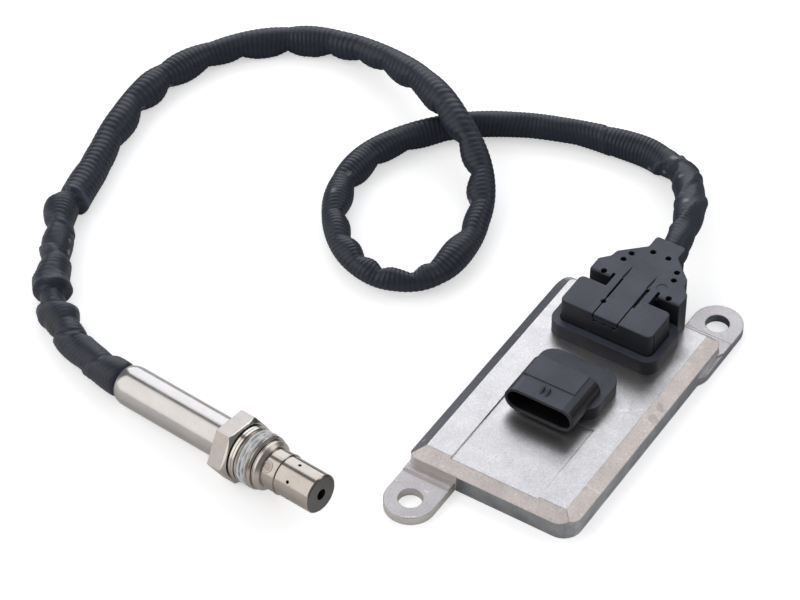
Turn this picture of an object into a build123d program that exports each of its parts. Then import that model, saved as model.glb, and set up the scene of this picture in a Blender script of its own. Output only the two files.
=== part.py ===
from build123d import *
import os
from math import atan, cos, radians, sin, tan

# A nitrogen oxide sensor: a cast control unit, a probe that screws into an exhaust
# pipe, and the ribbed conduit that carries the leads between them. Millimetres. The
# origin is on the floor, half way between the two lug holes.

# Cast body of the control unit
BODY_X = -1.1
BODY_Y = 1.7
BODY_W = 65.0
BODY_L = 105.6
BODY_H = 10.07
BODY_R = 7.0
FRONT_LEFT_R = 3.0
BACK_RIGHT_R = 4.0
MITRE_R = 4.0
BEVEL_W = 4.8
BEVEL_BACK_W = 3.6
BEVEL_H = 3.5
WALL = 2.2
ROOF = 2.0

# Mounting lugs
LUG_X = 23.68
LUG_Y = 64.9
LUG_R = 9.3
LUG_T = 3.2
LUG_ROOT_Y = 42.0
LUG_HOLE_R = 4.36
LEDGE_W = 4.1
LEDGE_H = 0.5
LEDGE_SLOPE = 0.7
LEDGE_ROOT = 5.2
LEDGE_FLARE_W = 1.6
LEDGE_FLARE_L = 3.2

# Shallow recess for a label, open at the front
LABEL_X = -1.45
LABEL_W = 34.5
LABEL_BACK_Y = -9.7
LABEL_DEPTH = 0.5

# Base plate, its gasket and its screws
PLATE_T = 1.6
PLATE_LIP = 1.0
PLATE_GAP = 0.15
LID_GASKET_T = 0.6
LID_GASKET_W = 1.6
BOSS_INSET = 7.0
BOSS_R = 3.2
SCREW_R = 1.25
SCREW_HEAD_R = 2.6
SCREW_HEAD_H = 1.3
SCREW_L = 6.5
SCREW_GAP = 0.05

# Circuit board
BOARD_Z = 3.4
BOARD_T = 1.6
BOARD_GAP = 0.8
POST_X = 24.0
POST_FRONT_Y = -30.0
POST_BACK_Y = 14.0
POST_R = 2.6
BOARD_SCREW_R = 0.9
BOARD_SCREW_L = 3.2
BOARD_HEAD_R = 1.9
BOARD_HEAD_H = 1.2
BOARD_HOLE_GAP = 0.3

# Parts on the board
CPU_SIZE = 12.0
CPU_H = 1.4
CPU_GAP = 7.0
CHIP_W = 5.0
CHIP_L = 6.2
CHIP_H = 1.6
CHIP_X = 15.5
CAN_R = 3.1
CAN_H = 2.6
CAN_PITCH = 7.2
CAN_INSET = 12.0
COIL_SIZE = 9.0
COIL_H = 2.7

# Rings that seal the two headers to the casting
SEAL_INSET = 1.2
SEAL_W = 1.3
SEAL_T = 0.8
SEAL_GAP = 0.1
SPIGOT_INSET = 3.4
SPIGOT_DROP = 2.8
SPIGOT_GAP = 0.3

# Header for the vehicle's plug
PORT_FLANGE_X = -1.1
PORT_FLANGE_Y = 2.6
PORT_FLANGE_W = 30.0
PORT_FLANGE_D = 20.8
PORT_FLANGE_R = 5.5
PORT_FLANGE_H = 5.3
PORT_X = -2.35
PORT_Z = 15.7
PORT_W = 27.3
PORT_H = 10.2
PORT_WALL = 1.1
PORT_MOUTH_Y = -16.6
PORT_BACK_Y = 2.2
PORT_DEPTH = 13.6
PAD_W = 18.5
PAD_STEP_X = -13.3
PAD_H = 0.3
PAD_FRONT_Y = -8.2
CATCH_X = -2.6
CATCH_Y = -12.3
CATCH_L = 3.2
CATCH_W = 0.9
CATCH_H = 1.3
CATCH_PITCH = 2.2
PORT_PINS = 5
PORT_PIN_PITCH = 4.6
PORT_PIN_W = 1.5
PORT_PIN_T = 0.8
PORT_PIN_TIP_Y = -9.6
PORT_PIN_Y = -0.4
PIN_BELOW_BOARD = 0.8
PIN_HOLE_GAP = 0.2

# Header for the probe's plug
TOWER_FLANGE_X = -1.0
TOWER_FLANGE_Y = 33.45
TOWER_FLANGE_W = 42.8
TOWER_FLANGE_D = 22.3
TOWER_FLANGE_R = 5.0
TOWER_FLANGE_H = 6.1
SEAT_DEPTH = 0.6
SEAT_GAP = 0.35
TOWER_W = 28.0
TOWER_D = 8.1
TOWER_R = 1.5
TOWER_WALL = 1.2
TOWER_H = 5.9
TOOTH_W = 1.4
TOOTH_H = 0.8
TOOTH_REACH = 2.4
TOOTH_PITCH = 3.9
LEAD_COUNT = 6
LEAD_PITCH = 3.6
PIN_T = 0.8
PIN_H = 4.9

# Plug on the probe's conduit
PLUG_X = -0.95
PLUG_Y = 32.95
PLUG_W = 36.5
PLUG_D = 14.9
PLUG_R = 2.0
PLUG_H = 9.2
PLUG_WALL = 1.6
PLUG_ROOF = 1.8
EDGE_R = 0.35
NECK_X = -0.5
NECK_W = 17.0
ARM_X = -0.85
ARM_W = 9.9
SLIT_W = 0.45
SLIT_END_Y = 46.8
SLIT_WIDE_W = 1.2
SLIT_WIDE_Y = 35.5
SLIT_LEFT_W = 0.8
NOTCH_W = 1.1
NOTCH_L = 2.2
CREASE_L = 7.0
CREASE_DEPTH = 0.5
ARM_GAP = 0.3
WINDOW_W = 1.8
WINDOW_H = 1.1
WINDOW_DROP = 3.0
DIMPLE_R = 1.0
DIMPLE_Y = 32.9
GROOVE_W = 0.6
GROOVE_DEPTH = 0.5

# Hood that turns the leads into the conduit
HOOD_X = -0.3
HOOD_FRONT_Y = 45.0
HOOD_SHOULDER_W = 36.0
HOOD_SHOULDER_Y = 51.0
HOOD_WAIST_W = 29.8
HOOD_WAIST_Y = 54.4
HOOD_HIP_W = 28.4
HOOD_HIP_Y = 57.8
HOOD_TAIL_W = 11.8
HOOD_TAIL_Y = 65.8
HOOD_END_Y = 71.8
HOOD_BEND_R = 1.4
TAIL_EDGE_R = 1.2
HOOD_LIP_R = 1.0
HOOD_LIFT = 0.25
HOOD_WALL = 1.8
HOOD_BASE_T = 1.6
HOOD_BASE_GAP = 0.1
HOOD_HOLE_R = 1.1
HOOD_HOLES = ((13.1, 1.4), (10.2, 10.2), (9.2, 14.2), (3.1, 18.9))
BORE_START_Y = 63.5
MARK_X = 8.3
MARK_Y = 49.6
MARK_R = 2.0
MARK_DEPTH = 0.15

# Carrier and terminals inside the plug
CARRIER_GAP = 0.3
CARRIER_H = 6.4
TERMINAL_T = 1.8
TERMINAL_L = 5.0
TERMINAL_GAP = 0.1
PLUG_SEAL_W = 1.2
PLUG_SEAL_T = 1.5

# Leads and the ferrule that grips them
LEAD_R = 0.55
LEAD_RISE = 0.9
BUNDLE_R = 1.6
FERRULE_R = 4.9
FERRULE_BORE_R = 2.7
CONDUIT_Z = 17.8

# Ribbed conduit
CONDUIT_R = 5.0
HUMP_Z = 25.2
FIRST_RUN = 18.5
LAST_RUN = 13.5

# Probe: the sleeve and the nut's hexagon both rest on the floor
PROBE_X = -84.9
PROBE_Y = -82.2
PROBE_TURN = -7.9
SLEEVE_R = 7.5
SLEEVE_WALL = 0.6
SLEEVE_L = 46.5
SLEEVE_LIP = 3.5
MOUTH_R = 6.05
JOINT_T = 2.0
SPIGOT_L = 5.0
FIT = 0.05

# Swivel nut
HEX_AF = 22.0
HEX_L = 5.9
HEX_END = 7.2
HEX_FACE_R = 10.8
COLLAR_START = 7.6
COLLAR_END = 9.7
COLLAR_R = 10.25
RELIEF_END = 10.1
RELIEF_R = 9.5
THREAD_R = 10.0
THREAD_END = 16.0
NUT_END = 16.85
NUT_NOSE_R = 9.6
NUT_RUN = 0.08
NUT_PLAY = 0.15

# Seal ring and the bores of the probe's body
RING_R = 9.1
RING_L = 1.5
RING_NOSE_R = 8.1
RING_SLOPE_L = 1.25
BODY_BORE_R = 5.2
BODY_THROAT_R = 3.2
THROAT_START = 15.5

# Protection tubes
TUBE_WALL = 0.5
TUBE_BASE_R = 7.4
TUBE_BASE_L = 5.4
BEAD_R = 7.6
BEAD_L = 0.35
TUBE_R = 7.16
TUBE_END = 40.9
TUBE_EDGE_R = 0.5
TIP_HOLE_R = 2.05
SIDE_HOLES = 6
SIDE_HOLE_R = 0.6
SIDE_HOLE_AT = 31.1
SIDE_HOLE_TURN = 142.0
INNER_R = 5.6
INNER_WALL = 0.4
INNER_SEAT_L = 2.2
INNER_END = 38.6
INNER_HOLE_R = 0.75
INNER_HOLE_AT = 23.6
INNER_TIP_HOLE_R = 1.1

# Ceramic pieces and what they hold
ELEMENT_W = 4.2
ELEMENT_T = 1.3
ELEMENT_INSET = 1.0
ELEMENT_FRONT = 36.0
SLOT_GAP = 0.1
INSULATOR_BACK = -6.0
TALC_BACK = 3.5
TALC_FRONT = 9.0
HOLDER_R = 6.3
HOLDER_GAP = 5.0
HOLDER_L = 16.0
HOLDER_SLOT_W = 4.8
HOLDER_SLOT_T = 3.2
SPRING_W = 0.8
SPRING_T = 0.45
SPRING_PITCH = 1.4
SPRING_TAIL = 1.0
SPRING_L = 15.0
GROMMET_L = 10.5
PROBE_LEAD_X = 2.2
PROBE_LEAD_Y = 1.7

body_top = BODY_H
cavity_top = BODY_H - ROOF
board_top = BOARD_Z + BOARD_T
port_flange_top = BODY_H + PORT_FLANGE_H
port_top = PORT_Z + PORT_H / 2
flange_top = BODY_H + TOWER_FLANGE_H
tower_base = flange_top - SEAT_DEPTH
plug_top = flange_top + PLUG_H
roof_under = plug_top - PLUG_ROOF


def slab(w, d, z0, z1, x=0, y=0, r=0):
    """A flat block with rounded corners between two heights."""
    outline = RectangleRounded(w, d, r) if r else Rectangle(w, d)
    return Pos(x, y, z0) * extrude(outline, z1 - z0)


def rod(r, z0, z1, x=0, y=0):
    """An upright cylinder between two heights."""
    return Pos(x, y, z0) * extrude(Circle(r), z1 - z0)


def ring_of(w, d, r, inset, width, z0, z1, x, y):
    """A flat ring that follows a rounded block's edge."""
    outer = slab(w - 2 * inset, d - 2 * inset, z0, z1, x, y, r - inset)
    far = inset + width
    inner = slab(w - 2 * far, d - 2 * far, z0, z1, x, y, max(r - far, 0.5))
    return outer - inner


def turned(*profile):
    """A part turned about Z from its closed profile of (radius, height) points."""
    outline = make_face(Polyline(*[(r, 0, h) for r, h in profile], close=True))
    return revolve(outline, Axis.Z)


def row(count, pitch):
    """Places of evenly spaced things about zero."""
    return [(i - (count - 1) / 2) * pitch for i in range(count)]


# The casting

def rounded_plan(w, d, inset):
    """The casting's outline with its own radius at each corner."""
    plan = Pos(BODY_X, BODY_Y, 0) * Rectangle(w, d)
    places = ((-1, -1, FRONT_LEFT_R), (1, -1, BODY_R), (1, 1, BACK_RIGHT_R), (-1, 1, BODY_R))
    for i, j, r in places:
        corner = plan.vertices().sort_by_distance((BODY_X + i * w / 2, BODY_Y + j * d / 2, 0))[0]
        plan = fillet(corner, r - inset)
    return plan


def bevelled(inset, top):
    """The casting's form drawn in by inset, with its shoulders mitred up to height top."""
    w = BODY_W - 2 * inset
    d = BODY_L - 2 * inset
    crown_w = w - 2 * BEVEL_W
    crown_d = d - BEVEL_W - BEVEL_BACK_W
    crown_y = BODY_Y + (BEVEL_W - BEVEL_BACK_W) / 2
    shoulder = top - BEVEL_H
    foot = Pos(BODY_X, BODY_Y, shoulder) * Rectangle(w, d)
    crown = Pos(BODY_X, crown_y, top) * Rectangle(crown_w, crown_d)
    roof = loft([foot.face(), crown.face()], ruled=True)
    back_left = (BODY_X - (w + crown_w) / 4, BODY_Y + d / 2 - BEVEL_BACK_W / 2, top - BEVEL_H / 2)
    roof = fillet(roof.edges().sort_by_distance(back_left)[0], MITRE_R)
    block = slab(w, d, 0, shoulder, BODY_X, BODY_Y) + roof
    return block & extrude(rounded_plan(w, d, inset), top)


def lug(side):
    """One mounting lug, which runs in under the casting, with its ledge."""
    length = LUG_Y - LUG_ROOT_Y
    outline = Rot(0, 0, 90) * SlotCenterToCenter(length, 2 * LUG_R)
    tongue = Pos(LUG_X, (LUG_Y + LUG_ROOT_Y) / 2, 0) * extrude(outline, LUG_T)
    wall_y = BODY_L / 2 + side * BODY_Y
    near_x = LUG_X - LUG_R
    far_x = LUG_X + LUG_R
    root_y = wall_y - LEDGE_ROOT
    edge_y = wall_y + LEDGE_W
    plan = Polyline((near_x, root_y), (far_x - LEDGE_FLARE_W, root_y),
                    (far_x, root_y + LEDGE_FLARE_L), (far_x, edge_y), (near_x, edge_y), close=True)
    side_view = Polyline((root_y, 0), (edge_y, 0), (edge_y, LUG_T),
                         (edge_y - LEDGE_SLOPE, LUG_T + LEDGE_H), (root_y, LUG_T + LEDGE_H),
                         close=True)
    across = Plane((near_x, 0, 0), x_dir=(0, 1, 0), z_dir=(1, 0, 0))
    ledge = extrude(make_face(plan), LUG_T + LEDGE_H)
    ledge &= extrude(across * make_face(side_view), 2 * LUG_R)
    return Rot(0, 0, 0 if side > 0 else 180) * (tongue + ledge)


boss_x = BODY_W / 2 - BOSS_INSET
boss_y = BODY_L / 2 - BOSS_INSET
boss_places = [(BODY_X + i * boss_x, BODY_Y + j * boss_y) for i in (-1, 1) for j in (-1, 1)]
post_places = [(BODY_X + i * POST_X, y) for i in (-1, 1) for y in (POST_FRONT_Y, POST_BACK_Y)]


def lid_screw(gap):
    """A countersunk screw, head down, with its radii grown by gap."""
    r = SCREW_R + gap
    head = SCREW_HEAD_R + gap
    return turned((0, 0), (head, 0), (r, SCREW_HEAD_H), (r, SCREW_L), (0, SCREW_L))


def board_screw(gap):
    """A pan-head screw up through the board, with its shank grown by gap."""
    r = BOARD_SCREW_R + gap
    top = BOARD_Z + BOARD_SCREW_L
    head = BOARD_Z - BOARD_HEAD_H
    outline = [(0, head), (BOARD_HEAD_R, head), (BOARD_HEAD_R, BOARD_Z)]
    return turned(*outline, (r, BOARD_Z), (r, top), (0, top))


plate_w = BODY_W - 2 * PLATE_LIP
plate_l = BODY_L - 2 * PLATE_LIP
plate_r = BODY_R - PLATE_LIP
rebate_top = PLATE_T + LID_GASKET_T
seal_drop = SPIGOT_INSET - SPIGOT_GAP

housing = bevelled(0, body_top) + lug(-1) + lug(1)
housing -= bevelled(WALL, cavity_top)
housing -= slab(plate_w, plate_l, 0, rebate_top, BODY_X, BODY_Y, plate_r)
for x, y in boss_places:
    housing += rod(BOSS_R, PLATE_T, cavity_top, x, y)
for x, y in post_places:
    housing += rod(POST_R, board_top, cavity_top, x, y)
for x, y in boss_places:
    housing -= Pos(x, y, 0) * lid_screw(SCREW_GAP)
for x, y in post_places:
    housing -= Pos(x, y, 0) * board_screw(SCREW_GAP)
for side in (-1, 1):
    housing -= rod(LUG_HOLE_R, -1, LUG_T + 1, side * LUG_X, side * LUG_Y)
label_front = BODY_Y - BODY_L / 2
label_l = LABEL_BACK_Y - label_front
label_y = label_front + label_l / 2
housing -= slab(LABEL_W, label_l, body_top - LABEL_DEPTH, body_top + 1, LABEL_X, label_y)
port_hole_w = PORT_FLANGE_W - 2 * seal_drop
port_hole_d = PORT_FLANGE_D - 2 * seal_drop
housing -= slab(port_hole_w, port_hole_d, 0, body_top + 1, PORT_FLANGE_X, PORT_FLANGE_Y)
tower_hole_w = TOWER_FLANGE_W - 2 * seal_drop
tower_hole_d = TOWER_FLANGE_D - 2 * seal_drop
housing -= slab(tower_hole_w, tower_hole_d, 0, body_top + 1, TOWER_FLANGE_X, TOWER_FLANGE_Y)

base_w = plate_w - 2 * PLATE_GAP
base_l = plate_l - 2 * PLATE_GAP
base_r = plate_r - PLATE_GAP
base_plate = slab(base_w, base_l, 0, PLATE_T, BODY_X, BODY_Y, base_r)
for x, y in boss_places:
    base_plate -= Pos(x, y, 0) * lid_screw(SCREW_GAP)
lid_gasket = ring_of(base_w, base_l, base_r, 0, LID_GASKET_W, PLATE_T, rebate_top, BODY_X, BODY_Y)
lid_screws = [Pos(x, y, 0) * lid_screw(0) for x, y in boss_places]
board_screws = [Pos(x, y, 0) * board_screw(0) for x, y in post_places]

# The pins of both headers

port_pin_x = [PORT_X + x for x in row(PORT_PINS, PORT_PIN_PITCH)]
tower_pin_x = [PLUG_X + x for x in row(LEAD_COUNT, LEAD_PITCH)]
pin_foot = BOARD_Z - PIN_BELOW_BOARD


def port_pin(x):
    """A pin that points out of the socket and turns down to the board."""
    reach = PORT_PIN_Y - PORT_PIN_TIP_Y + PORT_PIN_T / 2
    y = PORT_PIN_TIP_Y + reach / 2
    blade = slab(PORT_PIN_W, reach, PORT_Z - PORT_PIN_T / 2, PORT_Z + PORT_PIN_T / 2, x, y)
    return blade + slab(PORT_PIN_W, PORT_PIN_T, pin_foot, PORT_Z, x, PORT_PIN_Y)


vehicle_pins = [port_pin(x) for x in port_pin_x]
sensor_pins = [slab(PIN_T, PIN_T, pin_foot, tower_base + PIN_H, x, PLUG_Y) for x in tower_pin_x]

# The circuit board and its parts

board_inset = WALL + BOARD_GAP
board_w = BODY_W - 2 * board_inset
board_l = BODY_L - 2 * board_inset
circuit_board = slab(board_w, board_l, BOARD_Z, board_top, BODY_X, BODY_Y, BODY_R - board_inset)
for x, y in boss_places:
    circuit_board -= rod(BOSS_R + BOARD_HOLE_GAP, BOARD_Z, board_top, x, y)
for x, y in post_places:
    circuit_board -= rod(BOARD_SCREW_R + SCREW_GAP, BOARD_Z, board_top, x, y)
for x in port_pin_x:
    w = PORT_PIN_W + 2 * PIN_HOLE_GAP
    circuit_board -= slab(w, PORT_PIN_T + 2 * PIN_HOLE_GAP, BOARD_Z, board_top, x, PORT_PIN_Y)
for x in tower_pin_x:
    w = PIN_T + 2 * PIN_HOLE_GAP
    circuit_board -= slab(w, w, BOARD_Z, board_top, x, PLUG_Y)

can_y = BODY_Y - board_l / 2 + CAN_INSET
cpu_y = can_y + CAN_R + CPU_GAP + CPU_SIZE / 2
capacitors = []
for i in (-1, 0, 1):
    capacitors.append(rod(CAN_R, board_top, board_top + CAN_H, BODY_X + i * CAN_PITCH, can_y))
processor = slab(CPU_SIZE, CPU_SIZE, board_top, board_top + CPU_H, BODY_X, cpu_y)
driver_chips = []
for i in (-1, 0, 1):
    y = cpu_y + i * (CHIP_L + 2)
    driver_chips.append(slab(CHIP_W, CHIP_L, board_top, board_top + CHIP_H, BODY_X + CHIP_X, y))
choke_x = BODY_X - CHIP_X
choke_coil = slab(COIL_SIZE, COIL_SIZE, board_top, board_top + COIL_H, choke_x, cpu_y)

# The vehicle header


def oblong(w, h, y0, y1):
    """A round-ended block along Y, from y0 towards the mouth at y1."""
    start = Plane((PORT_X, y0, PORT_Z), x_dir=(1, 0, 0), z_dir=(0, -1, 0))
    return extrude(start * SlotOverall(w, h), y0 - y1)


def catch_rib(x):
    """A sloping rib of the catch on the shroud."""
    half = CATCH_L / 2
    side_view = Plane((x - CATCH_W / 2, CATCH_Y, port_top), x_dir=(0, 1, 0), z_dir=(1, 0, 0))
    outline = Polyline((-half, -0.3), (half, -0.3), (half, CATCH_H), (-half, 0.1), close=True)
    return extrude(side_view * make_face(outline), CATCH_W)


pad_l = PORT_BACK_Y - PORT_MOUTH_Y
pad_y = (PORT_BACK_Y + PORT_MOUTH_Y) / 2
step_l = PORT_BACK_Y - PAD_FRONT_Y
step_y = (PORT_BACK_Y + PAD_FRONT_Y) / 2
step_w = PORT_X + PAD_W / 2 - PAD_STEP_X
step_x = PAD_STEP_X + step_w / 2
port_spigot_w = PORT_FLANGE_W - 2 * SPIGOT_INSET
port_spigot_d = PORT_FLANGE_D - 2 * SPIGOT_INSET
spigot_z = body_top - SPIGOT_DROP
port_area = (PORT_FLANGE_W, PORT_FLANGE_D, PORT_FLANGE_R)

vehicle_header = slab(PORT_FLANGE_W, PORT_FLANGE_D, body_top, port_flange_top,
                      PORT_FLANGE_X, PORT_FLANGE_Y, PORT_FLANGE_R)
vehicle_header += oblong(PORT_W, PORT_H, PORT_BACK_Y, PORT_MOUTH_Y)
vehicle_header += slab(PAD_W, pad_l, PORT_Z + 2, port_top, PORT_X, pad_y)
vehicle_header += slab(step_w, step_l, PORT_Z + 2, port_top + PAD_H, step_x, step_y)
for x in row(2, CATCH_PITCH):
    vehicle_header += catch_rib(CATCH_X + x)
vehicle_header += slab(port_spigot_w, port_spigot_d, spigot_z, body_top,
                       PORT_FLANGE_X, PORT_FLANGE_Y)
socket_w = PORT_W - 2 * PORT_WALL
socket_h = PORT_H - 2 * PORT_WALL
vehicle_header -= oblong(socket_w, socket_h, PORT_MOUTH_Y + PORT_DEPTH, PORT_MOUTH_Y)
vehicle_header -= ring_of(*port_area, SEAL_INSET, SEAL_W, body_top, body_top + SEAL_T,
                          PORT_FLANGE_X, PORT_FLANGE_Y)
for pin in vehicle_pins:
    vehicle_header -= pin
seal_w = SEAL_W - 2 * SEAL_GAP
seal_in = SEAL_INSET + SEAL_GAP
vehicle_gasket = ring_of(*port_area, seal_in, seal_w, body_top, body_top + SEAL_T,
                         PORT_FLANGE_X, PORT_FLANGE_Y)

# The header for the probe's plug

tower_top = tower_base + TOWER_H
tower_area = (TOWER_FLANGE_W, TOWER_FLANGE_D, TOWER_FLANGE_R)
tower_spigot_w = TOWER_FLANGE_W - 2 * SPIGOT_INSET
tower_spigot_d = TOWER_FLANGE_D - 2 * SPIGOT_INSET
tower_front = PLUG_Y - TOWER_D / 2
window_top = plug_top - WINDOW_DROP + WINDOW_H / 2
tooth_x = [ARM_X + x for x in row(3, TOOTH_PITCH)]
tooth_top = plug_top - WINDOW_DROP + TOOTH_H / 2

sensor_header = slab(TOWER_FLANGE_W, TOWER_FLANGE_D, body_top, flange_top,
                     TOWER_FLANGE_X, TOWER_FLANGE_Y, TOWER_FLANGE_R)
sensor_header -= slab(PLUG_W + 2 * SEAT_GAP, PLUG_D + 2 * SEAT_GAP, tower_base, flange_top,
                      PLUG_X, PLUG_Y, PLUG_R + SEAT_GAP)
sensor_header += slab(TOWER_W, TOWER_D, tower_base, tower_top, PLUG_X, PLUG_Y, TOWER_R)
for x in tooth_x:
    tab_y = tower_front + TOWER_WALL / 2
    sensor_header += slab(TOOTH_W, TOWER_WALL, tower_base, tooth_top, x, tab_y)
    tooth_y = tower_front - TOOTH_REACH / 2 + 0.2
    sensor_header += slab(TOOTH_W, TOOTH_REACH + 0.4, tooth_top - TOOTH_H, tooth_top, x, tooth_y)
well_w = TOWER_W - 2 * TOWER_WALL
well_d = TOWER_D - 2 * TOWER_WALL
sensor_header -= slab(well_w, well_d, tower_base, plug_top, PLUG_X, PLUG_Y)
sensor_header += slab(tower_spigot_w, tower_spigot_d, spigot_z, body_top,
                      TOWER_FLANGE_X, TOWER_FLANGE_Y)
sensor_header -= ring_of(*tower_area, SEAL_INSET, SEAL_W, body_top, body_top + SEAL_T,
                         TOWER_FLANGE_X, TOWER_FLANGE_Y)
for pin in sensor_pins:
    sensor_header -= pin
sensor_gasket = ring_of(*tower_area, seal_in, seal_w, body_top, body_top + SEAL_T,
                        TOWER_FLANGE_X, TOWER_FLANGE_Y)

# Carrier, terminals and seal inside the plug

carrier_top = tower_base + CARRIER_H
carrier_w = well_w - 2 * CARRIER_GAP
carrier_d = well_d - 2 * CARRIER_GAP
terminal_top = carrier_top
terminal_foot = terminal_top - TERMINAL_L
plug_carrier = slab(carrier_w, carrier_d, tower_base, carrier_top, PLUG_X, PLUG_Y)
plug_terminals = []
for x in tower_pin_x:
    cell = TERMINAL_T + 2 * TERMINAL_GAP
    plug_carrier -= slab(cell, cell, tower_base, carrier_top, x, PLUG_Y)
    bore = PIN_T + 2 * TERMINAL_GAP
    tube = slab(TERMINAL_T, TERMINAL_T, terminal_foot, terminal_top, x, PLUG_Y)
    plug_terminals.append(tube - slab(bore, bore, terminal_foot, terminal_top - 1, x, PLUG_Y))
plug_in_w = PLUG_W - 2 * PLUG_WALL
plug_in_d = PLUG_D - 2 * PLUG_WALL
plug_seal = slab(TOWER_W + 2 * PLUG_SEAL_W, TOWER_D + 2 * PLUG_SEAL_W, tower_base,
                 tower_base + PLUG_SEAL_T, PLUG_X, PLUG_Y, TOWER_R + PLUG_SEAL_W)
plug_seal -= slab(TOWER_W, TOWER_D, tower_base, tower_top, PLUG_X, PLUG_Y, TOWER_R)

# The plug's moulded cover and hood

hood_bottom = body_top + HOOD_LIFT
half_outline = [(HOOD_SHOULDER_W / 2, HOOD_FRONT_Y), (HOOD_SHOULDER_W / 2, HOOD_SHOULDER_Y),
                (HOOD_WAIST_W / 2, HOOD_WAIST_Y), (HOOD_HIP_W / 2, HOOD_HIP_Y),
                (HOOD_TAIL_W / 2, HOOD_TAIL_Y),
                (HOOD_TAIL_W / 2, HOOD_END_Y)]
outline = half_outline + [(-x, y) for x, y in reversed(half_outline)]
hood_plan = make_face(Polyline(*outline, close=True))
bends = hood_plan.vertices().filter_by_position(Axis.Y, HOOD_SHOULDER_Y - 1, HOOD_TAIL_Y + 1)
hood_plan = fillet(bends, HOOD_BEND_R)
hood_plan = fillet(hood_plan.vertices().group_by(Axis.Y)[-1], TAIL_EDGE_R)
hood_plan = Pos(HOOD_X, 0, 0) * hood_plan
hood_inside = offset(hood_plan, -HOOD_WALL, kind=Kind.INTERSECTION)
hood_recess = offset(hood_plan, -HOOD_WALL + HOOD_BASE_GAP, kind=Kind.INTERSECTION)
hood_floor = hood_bottom + HOOD_BASE_T
neck_back = HOOD_FRONT_Y + HOOD_WALL
block_back = PLUG_Y + PLUG_D / 2
block_inside = block_back - PLUG_WALL


def along_y(r, y0, y1, x, z):
    """A cylinder along Y."""
    start = Plane((x, y0, z), x_dir=(1, 0, 0), z_dir=(0, 1, 0))
    return extrude(start * Circle(r), y1 - y0)


def flat(x0, x1, y0, y1, z0, z1):
    """A plain block between its six faces."""
    return slab(x1 - x0, y1 - y0, z0, z1, (x0 + x1) / 2, (y0 + y1) / 2)


neck_left = NECK_X - NECK_W / 2
neck_right = NECK_X + NECK_W / 2
arm_left = ARM_X - ARM_W / 2
arm_right = ARM_X + ARM_W / 2
plug_front = PLUG_Y - PLUG_D / 2
lead_passage_z = tower_top + 0.1

block = slab(PLUG_W, PLUG_D, tower_base, plug_top, PLUG_X, PLUG_Y, PLUG_R)
block = fillet(block.faces().sort_by(Axis.Z)[-1].edges(), EDGE_R)
block -= slab(plug_in_w, plug_in_d, tower_base, roof_under, PLUG_X, PLUG_Y)
hood = Pos(0, 0, hood_bottom) * extrude(hood_plan, plug_top - hood_bottom)
lip = hood.edges().filter_by(Axis.X).group_by(Axis.Z)[-1].sort_by(Axis.Y)[0]
hood = fillet(lip, HOOD_LIP_R)
hood -= Pos(0, 0, hood_bottom) * extrude(hood_inside, roof_under - hood_bottom)
tail = flat(HOOD_X - HOOD_TAIL_W / 2, HOOD_X + HOOD_TAIL_W / 2, BORE_START_Y + 2, HOOD_END_Y,
            hood_floor, plug_top)
hood += tail & Pos(0, 0, hood_floor) * extrude(hood_plan, plug_top - hood_floor)
hood -= Pos(0, 0, hood_bottom) * extrude(hood_recess, HOOD_BASE_T)
hood -= along_y(FERRULE_R + FIT, BORE_START_Y, HOOD_END_Y, HOOD_X, CONDUIT_Z)

plug_cover = block + hood
plug_cover += flat(neck_left, neck_right, block_back - 1, HOOD_FRONT_Y + 1,
                   flange_top + HOOD_LIFT, plug_top)
plug_cover -= flat(neck_left + PLUG_WALL, neck_right - PLUG_WALL, block_inside - 1, neck_back,
                   lead_passage_z, roof_under)
plug_cover -= flat(neck_left + PLUG_WALL, neck_right - PLUG_WALL, block_back, HOOD_FRONT_Y,
                   tower_base, roof_under)

# The latch arm is cut free on three sides
for x in (neck_left - NOTCH_W / 2, neck_right + NOTCH_W / 2):
    plug_cover -= flat(x - NOTCH_W / 2, x + NOTCH_W / 2, HOOD_FRONT_Y - 1,
                       HOOD_FRONT_Y + NOTCH_L, roof_under, plug_top + 1)
for x in (arm_left, arm_right):
    plug_cover -= flat(x - SLIT_W / 2, x + SLIT_W / 2, plug_front - 1, SLIT_END_Y,
                       roof_under - ARM_GAP, plug_top + 1)
    crease = Polyline((x - SLIT_WIDE_W / 2, SLIT_END_Y), (x + SLIT_WIDE_W / 2, SLIT_END_Y),
                      (x, SLIT_END_Y + CREASE_L), close=True)
    wedge = extrude(make_face(crease), CREASE_DEPTH)
    plug_cover -= Pos(0, 0, plug_top - CREASE_DEPTH) * wedge
plug_cover -= flat(arm_right - SLIT_W / 2, arm_right + SLIT_WIDE_W, SLIT_WIDE_Y, SLIT_END_Y,
                   roof_under - ARM_GAP, plug_top + 1)
plug_cover -= flat(arm_left - SLIT_LEFT_W / 2, arm_left + SLIT_LEFT_W / 2, SLIT_WIDE_Y,
                   SLIT_END_Y, roof_under - ARM_GAP, plug_top + 1)
plug_cover -= flat(arm_left, arm_right, plug_front - 1, plug_front + PLUG_WALL,
                   roof_under - ARM_GAP, roof_under)
for x in tooth_x:
    plug_cover -= flat(x - WINDOW_W / 2, x + WINDOW_W / 2, plug_front - 1,
                       plug_front + PLUG_WALL, window_top - WINDOW_H, window_top)
plug_cover -= rod(DIMPLE_R, roof_under, plug_top + 1, arm_left, DIMPLE_Y)
plug_right = PLUG_X + PLUG_W / 2
groove_y = plug_front + PLUG_R + GROOVE_W
plug_cover -= flat(plug_right - GROOVE_DEPTH, plug_right + 1, groove_y - GROOVE_W / 2,
                   groove_y + GROOVE_W / 2, tower_base, plug_top - EDGE_R)
for x, y in HOOD_HOLES:
    for side in (-1, 1):
        hole_y = HOOD_FRONT_Y + y
        plug_cover -= rod(HOOD_HOLE_R, roof_under, plug_top + 1, HOOD_X + side * x, hole_y)
plug_cover -= rod(MARK_R, plug_top - MARK_DEPTH, plug_top + 1, MARK_X, MARK_Y)

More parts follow.
